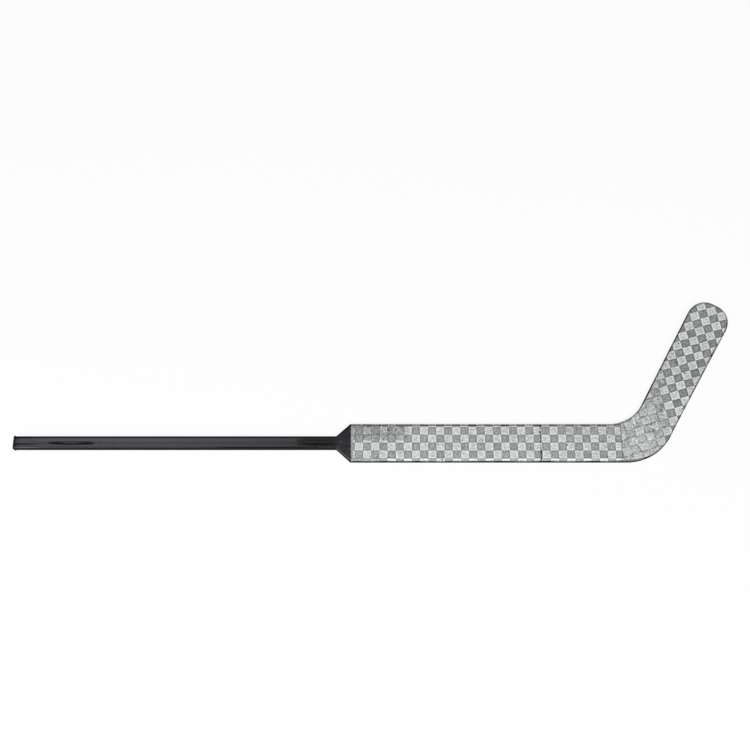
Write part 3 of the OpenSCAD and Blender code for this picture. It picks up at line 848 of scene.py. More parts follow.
def tow_colour(tree, tow_w, tows, dark, bright, look):
    """Colour of the tows, from the painted shaded checks to the painted lit ones."""
    # The sides of a tow lie steeper, so their painted light and shade are stronger
    painted_slope_contrast = add(
        tree, "MapRange",
        {
            "Value": tows.rim, "From Min": 0.5 - 4 * MM / tow_w, "From Max": 0.5 - 1.5 * MM / tow_w,
            "To Min": 0.46, "To Max": 0.95,
        },
        interpolation_type="SMOOTHSTEP",
    )
    swing = add(tree, "Math", {0: tows.pale, 1: 0.5}, operation="SUBTRACT")
    swing = add(tree, "Math", {0: swing, 1: painted_slope_contrast}, operation="MULTIPLY")
    base = add(
        tree, "MapRange",
        {"Value": tows.show, "From Max": look.clear_from, "To Min": look.plain, "To Max": look.clear},
    )
    tone = add(tree, "Math", {0: swing, 1: tows.show, 2: base}, operation="MULTIPLY_ADD")
    grains = ((tows.own, 0.16), (tows.fibre, 0.9 * look.grain), (tows.mottle, 1.3 * look.grain))
    for grey, share in grains:
        grey = add(tree, "Math", {0: grey, 1: 0.5}, operation="SUBTRACT")
        tone = add(tree, "Math", {0: grey, 1: share, 2: tone}, operation="MULTIPLY_ADD")

    # Where the checks hardly show the cloth is patchy and wrinkled, with pale streaks painted where its
    # wrinkles catch the light
    hidden = add(tree, "MapRange", {"Value": tows.show, "To Min": look.worn, "To Max": 0})
    patchy = add(tree, "Math", {0: tows.mottle, 1: 0.5}, operation="SUBTRACT")
    patchy = add(tree, "Math", {0: patchy, 1: hidden}, operation="MULTIPLY")
    tone = add(tree, "Math", {0: patchy, 1: 0.3, 2: tone}, operation="MULTIPLY_ADD")
    crease = (tow_w / (7 * MM), tow_w / (24 * MM), 1)
    drawn = add(tree, "VectorMath", {0: tows.flat, 1: crease}, operation="MULTIPLY")
    wrinkle = add(tree, "TexNoise", {"Vector": drawn, "Scale": 1, "Detail": 2, "Distortion": 0.6})
    wrinkle_glint = add(
        tree, "MapRange", {"Value": wrinkle, "From Min": 0.58, "From Max": 0.7, "To Max": 0.6},
        interpolation_type="SMOOTHSTEP",
    )
    tone = add(tree, "Math", {0: wrinkle_glint, 1: hidden, 2: tone}, operation="MULTIPLY_ADD")
    shade = add(
        tree, "ValToRGB", {"Fac": tone}, out="Color",
        ramp=[(0.0, scaled(dark, 0.7)), (0.25, dark), (0.75, bright), (1.0, scaled(bright, 1.3))],
    )

    # No two tows have quite the same tint
    return add(
        tree, "Mix", {0: 0.015, COLOUR_A: shade, COLOUR_B: tows.own.node.outputs["Color"]},
        out=COLOUR_OUT, data_type="RGBA", blend_type="OVERLAY",
    )


def resin_marks(tree, tow_w, tows, look):
    """Where resin shows dark: in gaps between tows, in specks and beside a joint."""
    # Gaps are thin between clear checks, and open and broken where the checks hardly show
    reach = add(
        tree, "MapRange",
        {"Value": tows.show, "To Min": 0.5 - 2.2 * MM / tow_w, "To Max": 0.5 - 0.9 * MM / tow_w},
    )
    gap = add(
        tree, "MapRange", {"Value": tows.rim, "From Min": reach, "From Max": 0.5},
        interpolation_type="SMOOTHSTEP",
    )
    ragged = add(tree, "TexNoise", {"Vector": tows.laid, "Scale": tow_w / (9 * MM), "Detail": 1})
    broken = add(
        tree, "MapRange", {"Value": ragged, "From Min": 0.38, "From Max": 0.62, "To Max": look.worn}
    )
    clear = add(tree, "MapRange", {"Value": tows.show, "To Min": broken, "To Max": 0.25})
    gap = add(tree, "Math", {0: gap, 1: clear}, operation="MULTIPLY")
    grit = add(tree, "TexNoise", {"Vector": tows.laid, "Scale": tow_w / (5 * MM), "Detail": 1})
    speck = add(
        tree, "MapRange", {"Value": grit, "From Min": 0.66, "From Max": 0.73, "To Max": 0.55},
        interpolation_type="SMOOTHSTEP",
    )

    # The heel seam is a fine line, and the splice a darker and more broken one
    beside = add(tree, "Attribute", out="Vector", attribute_name="joint")
    seam = add(tree, "SeparateXYZ", {0: beside}, out="X")
    splice = seam.node.outputs["Y"]
    seam = add(tree, "Math", {0: ragged, 1: 0.8, 2: seam}, operation="MULTIPLY_ADD")
    seam = add(
        tree, "MapRange", {"Value": seam, "From Min": 0.95, "From Max": 1.25, "To Max": 0.7},
        interpolation_type="SMOOTHSTEP",
    )
    splice = add(tree, "Math", {0: ragged, 1: 3, 2: splice}, operation="MULTIPLY_ADD")
    splice = add(
        tree, "MapRange", {"Value": splice, "From Min": 2.05, "From Max": 2.35, "To Max": 0.95},
        interpolation_type="SMOOTHSTEP",
    )
    marks = gap
    for mark in (speck, seam, splice):
        marks = add(tree, "Math", {0: marks, 1: mark}, operation="MAXIMUM")
    return marks


def edge_shade_line(tree, tow_w, tows):
    """The dark line over an edge, painted shade over its round and a resin line: black next to the strip,
    and thin in places further out.
    """
    line_at = add(tree, "Attribute", out="Fac", attribute_name="line")
    line = add(
        tree, "MapRange", {"Value": line_at, "From Min": 0.82, "From Max": 1.06, "To Min": 1, "To Max": 0},
        interpolation_type="SMOOTHSTEP",
    )
    thin = add(tree, "TexNoise", {"Vector": tows.flat, "Scale": tow_w / (50 * MM), "Detail": 1})
    thin = add(tree, "MapRange", {"Value": thin, "From Min": 0.35, "From Max": 0.65, "To Min": 0.55})
    line = add(tree, "Math", {0: line, 1: thin}, operation="MULTIPLY")
    core = add(
        tree, "MapRange", {"Value": line_at, "From Min": 0.3, "From Max": 0.55, "To Min": 1, "To Max": 0},
        interpolation_type="SMOOTHSTEP",
    )
    return add(tree, "Math", {0: line, 1: core}, operation="MAXIMUM")


def spread_tow_weave(name, tow_w, dark, bright, resin, look):
    """Plain weave of flat carbon and glass tows under clear resin, pressed smooth in a mould.

    Each check shows one tow: pale where its fibres catch the light, grey where they cross it, and this light
    and shade is painted into its colour. Inside a check the eye sees fibre lines and soft mottling, round it
    a thin gap of resin, and over all a low gloss.
    """
    material, tree = new_material(name)
    tows = laid_tows(tree, tow_w)
    line = edge_shade_line(tree, tow_w, tows)
    # The painted shade of the edges is mixed in with the resin marks
    marks = add(tree, "Math", {0: resin_marks(tree, tow_w, tows, look), 1: line}, operation="MAXIMUM")
    shade = add(
        tree, "Mix",
        {0: marks, COLOUR_A: tow_colour(tree, tow_w, tows, dark, bright, look), COLOUR_B: (*resin, 1)},
        out=COLOUR_OUT, data_type="RGBA",
    )

    # The clear coat stops short of the edges, where the resin is rubbed matt
    rough = add(
        tree, "MapRange",
        {"Value": tows.fibre, "From Min": 0.3, "From Max": 0.7, "To Min": 0.34, "To Max": 0.48},
    )
    rough = add(tree, "Math", {0: line, 1: 0.6, 2: rough}, operation="MULTIPLY_ADD", use_clamp=True)
    coat = add(tree, "MapRange", {"Value": line, "From Max": 0.5, "To Min": 0.3, "To Max": 0})
    sheen = add(tree, "MapRange", {"Value": line, "To Min": 0.5, "To Max": 0.05})
    height = add(tree, "Math", {0: tows.fibre, 1: tows.mottle}, operation="ADD")
    bump = add(tree, "Bump", {"Strength": 0.3, "Distance": 0.1 * MM, "Height": height})
    finish(tree, {
        "Base Color": shade, "Roughness": rough, "IOR": 1.5, "Specular IOR Level": sheen, "Normal": bump,
        "Coat Weight": coat, "Coat Roughness": 0.15,
    })
    return material


def black_lacquer(name, finishes, shoulder_x, border_y):
    """Black polyurethane lacquer sprayed on a moulded tube.

    It is a deep, glossy black with a slight orange peel, faint polishing lines along the shaft and a few
    grains of dust. Gloves have rubbed its narrow sides and upper border matt. Its shoulder is painted
    lighter grey towards the lower half, a painted reflection broken into blotches.
    """
    material, tree = new_material(name)
    shade = finishes.lacquer
    place = add(tree, "TexCoord", out="Object")
    at_x = add(tree, "SeparateXYZ", {0: place}, out="X")
    at_y = at_x.node.outputs["Y"]
    facing = add(tree, "TexCoord", out="Normal")
    upward = add(tree, "SeparateXYZ", {0: facing}, out="Z")
    across = upward.node.outputs["Y"]
    upward = add(tree, "Math", {0: upward}, operation="ABSOLUTE")

    # Polishing lines and dust
    polish = (1 / (70 * MM), 1 / (1.2 * MM), 1 / (1.2 * MM))
    along = add(tree, "VectorMath", {0: place, 1: polish}, operation="MULTIPLY")
    lines = add(tree, "TexNoise", {"Vector": along, "Scale": 1, "Detail": 2})
    coat = add(
        tree, "ValToRGB", {"Fac": lines}, out="Color",
        ramp=[(0.3, scaled(shade, 0.7)), (0.7, scaled(shade, 1.3))],
    )
    grain = add(tree, "TexNoise", {"Vector": place, "Scale": 1 / (2 * MM), "Detail": 1})
    dust = add(tree, "MapRange", {"Value": grain, "From Min": 0.74, "From Max": 0.8, "To Max": 0.25})
    coat = add(
        tree, "Mix", {0: dust, COLOUR_A: coat, COLOUR_B: (*finishes.dust, 1)},
        out=COLOUR_OUT, data_type="RGBA",
    )

    # The shoulder is painted lighter grey in blotches, most of all its lower half: a painted reflection
    flared = add(
        tree, "MapRange",
        {"Value": at_x, "From Min": shoulder_x - 5 * MM, "From Max": shoulder_x + 5 * MM},
    )
    low = add(
        tree, "MapRange",
        {"Value": at_y, "From Min": -12 * MM, "From Max": 14 * MM, "To Min": 1, "To Max": 0.15},
    )
    blotch = add(tree, "TexNoise", {"Vector": place, "Scale": 1 / (6 * MM), "Detail": 2})
    blotch = add(tree, "MapRange", {"Value": blotch, "From Min": 0.42, "From Max": 0.66})
    sheen_painted = add(tree, "Math", {0: flared, 1: low}, operation="MULTIPLY")
    sheen_painted = add(tree, "Math", {0: sheen_painted, 1: blotch}, operation="MULTIPLY")
    coat = add(
        tree, "Mix", {0: sheen_painted, COLOUR_A: coat, COLOUR_B: (*finishes.shoulder_sheen, 1)},
        out=COLOUR_OUT, data_type="RGBA",
    )

    # The sides are matt all round, and the upper side and its border are dull from the palm
    rough = add(
        tree, "MapRange", {"Value": lines, "From Min": 0.3, "From Max": 0.7, "To Min": 0.09, "To Max": 0.13}
    )
    gripped = add(
        tree, "MapRange",
        {"Value": upward, "From Min": 0.24, "From Max": 0.66, "To Min": 0.55, "To Max": 0},
    )
    rough = add(tree, "Math", {0: rough, 1: gripped}, operation="ADD")
    sheen = add(
        tree, "MapRange",
        {"Value": upward, "From Min": 0.55, "From Max": 0.88, "To Min": 0.04, "To Max": 0.5},
    )
    palm = add(
        tree, "MapRange", {"Value": across, "From Min": 0.08, "From Max": 0.4, "To Min": 1, "To Max": 0.1}
    )
    border = add(
        tree, "MapRange",
        {"Value": at_y, "From Min": border_y - 1 * MM, "From Max": border_y, "To Min": 1, "To Max": 0.1},
    )
    border = add(tree, "Math", {0: border, 1: flared}, operation="MAXIMUM")
    for dulled in (palm, border):
        sheen = add(tree, "Math", {0: sheen, 1: dulled}, operation="MULTIPLY")
    peel = add(tree, "TexNoise", {"Vector": place, "Scale": 1 / (4 * MM), "Detail": 1})
    bump = add(tree, "Bump", {"Strength": 0.15, "Distance": 0.05 * MM, "Height": peel})
    finish(tree, {
        "Base Color": coat, "Roughness": rough, "IOR": 1.5, "Specular IOR Level": sheen, "Normal": bump,
    })
    return material


def moulded_rubber(name, shade):
    """Black rubber moulded in a blasted tool: a dull, even black with a fine grain, grey where rubbed."""
    material, tree = new_material(name)
    place = add(tree, "TexCoord", out="Object")
    grain = add(tree, "TexNoise", {"Vector": place, "Scale": 1 / (0.8 * MM), "Detail": 2})
    rub = add(tree, "TexNoise", {"Vector": place, "Scale": 1 / (9 * MM), "Detail": 3})
    coat = add(
        tree, "ValToRGB", {"Fac": rub}, out="Color",
        ramp=[(0.35, scaled(shade, 0.8)), (0.7, scaled(shade, 1.9))],
    )
    rough = add(
        tree, "MapRange", {"Value": grain, "From Min": 0.3, "From Max": 0.7, "To Min": 0.5, "To Max": 0.68}
    )
    bump = add(tree, "Bump", {"Strength": 0.35, "Distance": 0.1 * MM, "Height": grain})
    finish(tree, {
        "Base Color": coat, "Roughness": rough, "IOR": 1.52, "Specular IOR Level": 0.35, "Normal": bump,
    })
    return material


def drawn_fibres(name, shade, fibre_len, fibre_w, roughness, sheen):
    """Carbon fibres pulled through resin into a flat strip: near black, with fine satin lines along it.

    The fibres are too fine to show, so bundles of this length and width are drawn.
    """
    material, tree = new_material(name)
    place = add(tree, "TexCoord", out="Object")
    pulled = (1 / fibre_len, 1 / fibre_len, 1 / fibre_w)
    along = add(tree, "VectorMath", {0: place, 1: pulled}, operation="MULTIPLY")
    lines = add(tree, "TexNoise", {"Vector": along, "Scale": 1, "Detail": 2})
    coat = add(
        tree, "ValToRGB", {"Fac": lines}, out="Color",
        ramp=[(0.3, scaled(shade, 0.6)), (0.7, scaled(shade, 1.6))],
    )
    ends = {"To Min": roughness - 0.08, "To Max": roughness + 0.08}
    rough = add(tree, "MapRange", {"Value": lines, "From Min": 0.3, "From Max": 0.7, **ends})
    bump = add(tree, "Bump", {"Strength": 0.2, "Distance": 0.08 * MM, "Height": lines})
    finish(tree, {
        "Base Color": coat, "Roughness": rough, "IOR": 1.5, "Specular IOR Level": sheen, "Normal": bump,
    })
    return material


def rigid_foam(name, shade):
    """Rigid closed-cell foam, machined: pale and chalky, with open cells drawn coarser than they are."""
    material, tree = new_material(name)
    place = add(tree, "TexCoord", out="Object")
    cells = add(tree, "TexVoronoi", {"Vector": place, "Scale": 1 / (1.6 * MM)}, out="Distance")
    cloud = add(tree, "TexNoise", {"Vector": place, "Scale": 1 / (25 * MM), "Detail": 2})
    height = add(tree, "Math", {0: cells, 1: cloud}, operation="ADD")
    coat = add(
        tree, "ValToRGB", {"Fac": height}, out="Color",
        ramp=[(0.4, scaled(shade, 0.72)), (1.0, scaled(shade, 1.05))],
    )
    bump = add(tree, "Bump", {"Strength": 0.5, "Distance": 0.3 * MM, "Height": cells})
    finish(tree, {"Base Color": coat, "Roughness": 0.9, "IOR": 1.45, "Normal": bump})
    return material


def planed_hardwood(name, shade):
    """Ash, planed along its grain: straw-coloured, with darker growth lines and short pores along it."""
    material, tree = new_material(name)
    place = add(tree, "TexCoord", out="Object")
    growth_lines = (1 / (90 * MM), 1 / (3 * MM), 1 / (3 * MM))
    along = add(tree, "VectorMath", {0: place, 1: growth_lines}, operation="MULTIPLY")
    growth = add(tree, "TexNoise", {"Vector": along, "Scale": 1, "Detail": 3, "Distortion": 0.4})
    short_pores = (1 / (6 * MM), 1 / (0.7 * MM), 1 / (0.7 * MM))
    short = add(tree, "VectorMath", {0: place, 1: short_pores}, operation="MULTIPLY")
    pores = add(tree, "TexNoise", {"Vector": short, "Scale": 1, "Detail": 1})
    figure = add(tree, "Math", {0: pores, 1: 0.25, 2: growth}, operation="MULTIPLY_ADD")
    coat = add(
        tree, "ValToRGB", {"Fac": figure}, out="Color",
        ramp=[(0.4, scaled(shade, 0.6)), (0.55, shade), (0.8, scaled(shade, 1.15))],
    )
    bump = add(tree, "Bump", {"Strength": 0.25, "Distance": 0.15 * MM, "Height": pores})
    finish(tree, {"Base Color": coat, "Roughness": 0.6, "IOR": 1.5, "Normal": bump})
    return material


def white_paper(name, shade):
    """Matt white paper with a fine tooth.

    A share of it glows to what looks at it, so it is seen white, and the rest keeps the object's shadow.
    """
    material, tree = new_material(name)
    place = add(tree, "TexCoord", out="Object")
    tooth = add(tree, "TexNoise", {"Vector": place, "Scale": 1 / (6 * MM), "Detail": 1})
    paper = add(
        tree, "ValToRGB", {"Fac": tooth}, out="Color", ramp=[(0.3, scaled(shade, 0.985)), (0.7, shade)]
    )
    matt = add(tree, "BsdfDiffuse", {"Color": paper})
    white = add(tree, "Emission", {"Strength": 1})
    seen = add(tree, "LightPath", out="Is Camera Ray")
    rays = seen.node.outputs
    for ray in ("Is Glossy Ray", "Is Transmission Ray"):
        seen = add(tree, "Math", {0: seen, 1: rays[ray]}, operation="MAXIMUM")
    share = add(tree, "Math", {0: seen, 1: FLOOR_GLOW}, operation="MULTIPLY")
    surface = add(tree, "MixShader", {0: share, 1: matt, 2: white})
    add(tree, "OutputMaterial", {"Surface": surface})
    return material


# Operators


class STICK_OT_end_plug(Operator):
    """Makes the rubber end plug: a rounded flange and a stem with sealing ribs"""

    bl_idname = "stick.end_plug"
    bl_label = "End Plug"

    def execute(self, context):
        scene = context.scene
        plug, shaft = scene.stick_plug, scene.stick_shaft
        seat_x = plug.end_x + plug.flange_t
        bore_inset = plug.clearance + shaft.wall
        stem_w = shaft.width - 2 * bore_inset
        stem_t = shaft.thickness - 2 * bore_inset
        stem_r = shaft.edge_r - bore_inset

        def ring(x, width, height, r):
            return [(x, y, shaft.mid_z + z) for y, z in rounded_rectangle(width, height, r)]

        def flange(x, inset):
            r = max(plug.corner_r - inset, stem_r)
            return ring(x, plug.width - 2 * inset, plug.thickness - 2 * inset, r)

        def stem(x, inset):
            return ring(x, stem_w - 2 * inset, stem_t - 2 * inset, stem_r)

        # The domed end, the round of the rim and the seat
        rim_x = plug.end_x + plug.dome
        reach = plug.thickness / 2 - plug.rim_r
        rings = []
        for f in DOME_PLACES:
            rings.append(flange(plug.end_x + plug.dome * f ** 2, plug.rim_r + reach * (1 - f)))
        for k in range(ROUND_STEPS + 1):
            a = math.pi / 2 * k / ROUND_STEPS
            rings.append(flange(rim_x + plug.rim_r * (1 - math.cos(a)), plug.rim_r * (1 - math.sin(a))))
        rings.append(flange(seat_x, 0))

        # The stem with its round ribs, the last half a pitch short of a chamfered end
        rings.append(stem(seat_x, plug.rib_h))
        pitch = (plug.stem_x - seat_x) / (plug.rib_count + 0.5)
        for i in range(1, plug.rib_count + 1):
            rib_x = seat_x + i * pitch
            for k in range(ROUND_STEPS + 1):
                a = math.pi * k / ROUND_STEPS
                rings.append(stem(rib_x - plug.rib_len / 2 * math.cos(a), plug.rib_h * (1 - math.sin(a))))
        rings.append(stem(plug.stem_x - plug.rib_h, plug.rib_h))
        rings.append(stem(plug.stem_x, 1.5 * plug.rib_h))
        material = moulded_rubber("moulded_rubber", scene.stick_finish.rubber)
        new_piece("rubber_plug", loft(rings), material, "end_plug", "butt_plug")
        return {"FINISHED"}


class STICK_OT_shaft(Operator):
    """Makes the lacquered shaft: a hollow tube with two scallops, flared into the shoulder"""

    bl_idname = "stick.shaft"
    bl_label = "Shaft"

    def execute(self, context):
        scene = context.scene
        shaft, paddle = scene.stick_shaft, scene.stick_paddle
        butt = Scallop(
            middle=shaft.butt_x + shaft.butt_scallop_pos, shift=shaft.crease_y,
            length=shaft.butt_scallop_len, width=shaft.butt_scallop_w, depth=shaft.butt_scallop_depth,
            bowl=1, start=1.5, end=0.8,
        )
        throat = Scallop(
            middle=paddle.start_x - shaft.throat_scallop_gap - shaft.throat_scallop_len / 2, shift=0,
            length=shaft.throat_scallop_len, width=shaft.throat_scallop_w, depth=shaft.throat_scallop_depth,
            bowl=2, start=0.6, end=0.6,
        )
        butt_reach = butt.length / 2 + SCALLOP_MARGIN
        throat_start = throat.middle - throat.length / 2 - SCALLOP_MARGIN
        butt_places = spread(butt.middle - butt_reach, butt.middle + butt_reach, BUTT_STEP)
        throat_places = spread(throat_start, paddle.start_x, THROAT_STEP)
        # The rim is rounded in two steps
        rim = shaft.end_round
        outside = [(shaft.butt_x, rim), (shaft.butt_x + rim / 3, rim / 4), (shaft.butt_x + rim, 0)]
        outside += [(x, 0) for x in butt_places + throat_places]
        rings = [self.ring(scene, x, inset, butt, throat) for x, inset in outside]
        for x in reversed([shaft.butt_x, *throat_places]):
            wall = mix(shaft.wall, paddle.skin_t, flare(shaft, paddle, x))
            rings.append(self.ring(scene, x, wall))
        shoulder_x = paddle.start_x - shaft.shoulder_len
        border_y = shaft.width / 2 - shaft.edge_r
        material = black_lacquer("black_lacquer", scene.stick_finish, shoulder_x, border_y)
        bm = loft(rings, closed=True)
        new_piece("lacquered_shaft", bm, material, "stick", "shaft_tube")
        return {"FINISHED"}

    def ring(self, scene, x, inset, *scallops):
        """Points round the tube at x, drawn in by the inset, with its scallops in front and behind."""
        shaft, paddle = scene.stick_shaft, scene.stick_paddle
        f = flare(shaft, paddle, x)
        half_w = shoulder_half_width(shaft, paddle, x) - inset
        half_t = mix(shaft.thickness, paddle.thickness, f) / 2 - inset
        r = mix(shaft.edge_r, paddle.edge_r, f) - inset
        mid_z = mix(shaft.mid_z, paddle.thickness / 2, f)
        face = []
        for k in range(SCALLOP_STEPS + 1):
            y = shaft.throat_scallop_w * (0.5 - k / SCALLOP_STEPS)
            hollows = [self.hollow(scallop, x, y) for scallop in scallops]
            if scallops:
                hollows.append(shaft.crease_depth * clip(1 - 2 * abs(y - shaft.crease_y) / shaft.crease_w))
            face.append((y, half_t - max(hollows, default=0)))
        points = rounded_rectangle(2 * half_w, 2 * half_t, r)
        quarter = len(points) // 4
        behind = [(-y, -z) for y, z in face]
        points = points[:quarter] + face + points[quarter:3 * quarter] + behind + points[3 * quarter:]
        return [(x, y, mid_z + z) for y, z in points]

    def hollow(self, scallop, x, y):
        """Depth of a scallop at a place on the face."""
        along = 2 * (x - scallop.middle) / scallop.length
        across = 2 * abs(y - scallop.shift) / scallop.width
        taper = scallop.start if along < 0 else scallop.end
        return scallop.depth * max(0, 1 - along ** 2) ** taper * max(0, 1 - across ** scallop.bowl) ** 2


class STICK_OT_paddle_skins(Operator):
    """Makes the paddle's four woven skins: front and back, above and below the splice"""

    bl_idname = "stick.paddle_skins"
    bl_label = "Paddle Skins"

    def execute(self, context):
        scene = context.scene
        paddle, sizes, finishes = scene.stick_paddle, scene.stick_cloth, scene.stick_finish
        form = StickForm(paddle, scene.stick_blade)
        cloth = PaddleCloth(sizes, paddle)
        dark, bright = finishes.paddle_shaded_checks, finishes.paddle_lit_checks
        material = spread_tow_weave(
            "spread_tow_weave", sizes.tow_w, dark, bright, finishes.resin, PADDLE_LOOK
        )
        stretches = {"upper": (paddle.start_x, paddle.splice_x), "lower": (paddle.splice_x, paddle.seam_x)}
        for part, (start, end) in stretches.items():
            inner, outer = form.edges(form.paddle_pairs(start, end))
            for side, sense in SIDES.items():
                rows = [form.skin_row(a, b, sense) for a, b in zip(inner, outer)]
                bm = skin_mesh([rows], cloth, sense, paddle.skin_t)
                node = f"paddle_{side}_skin_{part}"
                new_piece(f"paddle_{side}_weave_{part}", bm, material, "stick", node)
        return {"FINISHED"}


class STICK_OT_blade_skins(Operator):
    """Makes the two woven skins of the heel and the blade, front and back"""

    bl_idname = "stick.blade_skins"
    bl_label = "Blade Skins"

    def execute(self, context):
        scene = context.scene
        paddle, sizes, finishes = scene.stick_paddle, scene.stick_cloth, scene.stick_finish
        form = StickForm(paddle, scene.stick_blade)
        cloth = BladeCloth(sizes, paddle, form)
        dark, bright = finishes.blade_shaded_checks, finishes.blade_lit_checks
        material = spread_tow_weave(
            "spread_tow_weave_on_bias", sizes.weft_w, dark, bright, finishes.resin, BLADE_LOOK
        )
        inner, outer = form.edges(*form.blade_pairs())
        for side, sense in SIDES.items():
            rows = [form.skin_row(a, b, sense) for a, b in zip(inner, outer)]
            toe = form.toe_rows(inner[-1], outer[-1], sense)
            bm = skin_mesh([rows, toe], cloth, sense, paddle.skin_t)
            new_piece(f"blade_{side}_weave", bm, material, "stick", f"blade_{side}_skin")
        return {"FINISHED"}


class STICK_OT_edge_strips(Operator):
    """Makes the three carbon strips along the edges of the paddle and round the blade"""

    bl_idname = "stick.edge_strips"
    bl_label = "Edge Strips"

    def execute(self, context):
        scene = context.scene
        paddle = scene.stick_paddle
        form = StickForm(paddle, scene.stick_blade)
        material = drawn_fibres(
            "drawn_carbon_strip", scene.stick_finish.strip, 40 * MM, 0.9 * MM, roughness=0.85, sheen=0.06
        )
        top, bottom = form.edges(form.paddle_pairs(paddle.start_x, paddle.seam_x))
        inner, outer = form.edges(*form.blade_pairs())
        strips = {"paddle_top": top, "paddle_bottom": bottom, "blade_edge": inner + outer[::-1]}
        for name, edges in strips.items():
            bm = loft([self.section(form, edge) for edge in edges])
            new_piece(f"{name}_strip", bm, material, "stick", f"{name}_band")
        return {"FINISHED"}

    def section(self, form, edge):
        """A thin strip between the two rounds of an edge, a little crowned."""
        low = form.round_point(edge, 0, -1)
        high = form.round_point(edge, 0, 1)
        way = edge.inward.to_3d()
        outside = []
        for k in range(STRIP_STEPS + 1):
            f = k / STRIP_STEPS
            proud = STRIP_CROWN * (1 - (2 * f - 1) ** 2) - STRIP_LIP * (f in (0, 1))
            outside.append(low.lerp(high, f) - way * proud)
        depth = way * form.paddle.skin_t
        return outside + [high + depth, low + depth]


class STICK_OT_inner_pieces(Operator):
    """Finishes the pieces inside the stick: foam cores, hardwood blocks and carbon webs"""

    bl_idname = "stick.inner_pieces"
    bl_label = "Inner Pieces"

    def execute(self, context):
        finishes = context.scene.stick_finish
        foam = rigid_foam("rigid_foam", finishes.foam)
        wood = planed_hardwood("planed_hardwood", finishes.wood)
        web = drawn_fibres("carbon_web", finishes.web, 60 * MM, 1.1 * MM, roughness=0.5, sheen=0.5)
        materials = {"_core": foam, "_tenon": wood, "_block": wood, "_rib": web}
        for name, node in frame["nodes"].items():
            for ending, material in materials.items():
                if name.endswith(ending):
                    node.data.materials.clear()
                    node.data.materials.append(material)
        return {"FINISHED"}


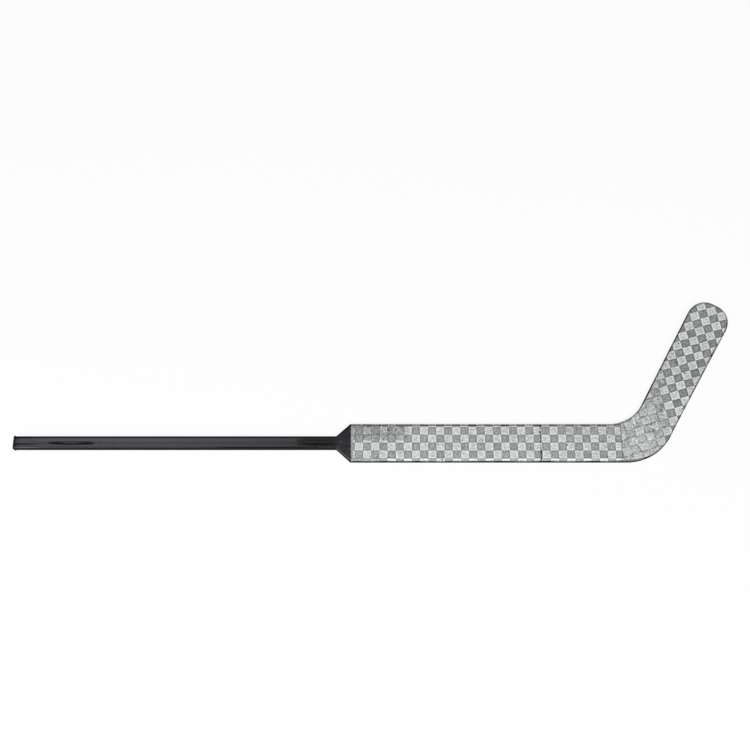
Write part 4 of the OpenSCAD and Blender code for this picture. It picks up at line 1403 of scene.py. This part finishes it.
class STICK_OT_stage(Operator):
    """Sets up the floor, the soft boxes, the surrounding light and the camera"""

    bl_idname = "stick.stage"
    bl_label = "Stage"

    def execute(self, context):
        scene = context.scene
        stage, finishes = scene.stick_stage, scene.stick_finish
        self.floor(stage, finishes)
        for box in SOFT_BOXES:
            self.soft_box(scene, box)
        self.surroundings(scene, finishes)
        camera = bpy.data.objects.new("camera", bpy.data.cameras.new("camera"))
        camera.data.lens = stage.lens
        back = Vector((0, -math.sin(stage.tilt), math.cos(stage.tilt)))
        camera.location = Vector(stage.target) + stage.distance * back
        camera.rotation_euler = (stage.tilt, 0, 0)
        scene.collection.objects.link(camera)
        scene.camera = camera
        scene.view_settings.view_transform = "Standard"
        return {"FINISHED"}

    def floor(self, stage, finishes):
        """A round floor that bends up into a backdrop on all sides."""
        profile = [(stage.floor_r, 0)]
        for k in range(1, ROUND_STEPS + 1):
            a = math.pi / 2 * k / ROUND_STEPS
            profile.append((stage.floor_r + stage.bend_r * math.sin(a), stage.bend_r * (1 - math.cos(a))))
        profile.append((stage.floor_r + stage.bend_r, stage.backdrop_h))
        turns = [2 * math.pi * k / BACKDROP_STEPS for k in range(BACKDROP_STEPS)]
        low = cad_box[0].z
        rings = [[(r * math.cos(t), r * math.sin(t), low + z) for t in turns] for r, z in profile]
        floor = new_object("floor", loft(rings, ends=[0]), white_paper("white_paper", finishes.floor))

    def soft_box(self, scene, box):
        """A rectangular lamp that faces a point; its glow is 1 where it looks white.

        Past the even share of its length the cloth in front of it hangs thicker and dims the lamp.
        """
        lamp = bpy.data.lights.new(box.name, "AREA")
        lamp.shape = "RECTANGLE"
        lamp.size, lamp.size_y = box.size
        lamp.energy = box.glow * math.pi * lamp.size * lamp.size_y
        lamp.color = linear(box.tint)
        tree = empty_tree(lamp)
        along = add(tree, "NewGeometry", out="Parametric")
        along = add(tree, "SeparateXYZ", {0: along}, out="X")
        # The range ends a little past the lamp, so that an even lamp has one too
        dim = add(
            tree, "MapRange",
            {"Value": along, "From Min": box.even, "From Max": 1.001, "To Min": 1, "To Max": DIM_END},
        )
        shine = add(tree, "Emission", {"Strength": dim})
        add(tree, "OutputLight", {"Surface": shine})
        holder = bpy.data.objects.new(box.name, lamp)
        holder.location = box.place
        holder.rotation_euler = (Vector(box.aim) - Vector(box.place)).to_track_quat("-Z", "Y").to_euler()
        scene.collection.objects.link(holder)

    def surroundings(self, scene, finishes):
        """A dim room with a pale panel overhead."""
        world = bpy.data.worlds.new("studio")
        tree = empty_tree(world)
        way = add(tree, "TexCoord", out="Generated")
        near = add(tree, "VectorMath", {0: way, 1: PANEL_WAY}, out="Value", operation="DOT_PRODUCT")
        light = add(
            tree, "ValToRGB", {"Fac": near}, out="Color",
            ramp=[(0.91, finishes.room), (0.985, finishes.panel)],
        )
        glow = add(tree, "Background", {"Color": light, "Strength": 1})
        add(tree, "OutputWorld", {"Surface": glow})
        scene.world = world


class STICK_PT_panel(Panel):
    """Lists the stick's sizes, colours and operators"""

    bl_label = "Goalkeeper's Stick"
    bl_idname = "STICK_PT_panel"
    bl_space_type = "VIEW_3D"
    bl_region_type = "UI"
    bl_category = "Stick"

    def draw(self, context):
        layout = self.layout
        for operator in OPERATORS:
            layout.operator(operator.bl_idname)
        for name, group in GROUPS.items():
            box = layout.box()
            box.label(text=group.__doc__)
            for size in group.__annotations__:
                box.prop(getattr(context.scene, name), size)


GROUPS = {
    "stick_shaft": ShaftSizes,
    "stick_paddle": PaddleSizes,
    "stick_blade": BladeSizes,
    "stick_plug": PlugSizes,
    "stick_cloth": ClothSizes,
    "stick_finish": Finishes,
    "stick_stage": StageSizes,
}
OPERATORS = [
    STICK_OT_end_plug,
    STICK_OT_shaft,
    STICK_OT_paddle_skins,
    STICK_OT_blade_skins,
    STICK_OT_edge_strips,
    STICK_OT_inner_pieces,
    STICK_OT_stage,
]
CLASSES = [*GROUPS.values(), *OPERATORS, STICK_PT_panel]


def register():
    """Adds the add-on's classes and puts its sizes and colours on the scene."""
    for cls in CLASSES:
        bpy.utils.register_class(cls)
    for name, group in GROUPS.items():
        setattr(bpy.types.Scene, name, PointerProperty(type=group))


def unregister():
    """Takes off what register added."""
    for name in GROUPS:
        delattr(bpy.types.Scene, name)
    for cls in reversed(CLASSES):
        bpy.utils.unregister_class(cls)


def main():
    """Builds the stick and its stage."""
    register()
    bpy.ops.stick.end_plug()
    bpy.ops.stick.shaft()
    bpy.ops.stick.paddle_skins()
    bpy.ops.stick.blade_skins()
    bpy.ops.stick.edge_strips()
    bpy.ops.stick.inner_pieces()
    bpy.ops.stick.stage()


if __name__ == "__main__":
    main()
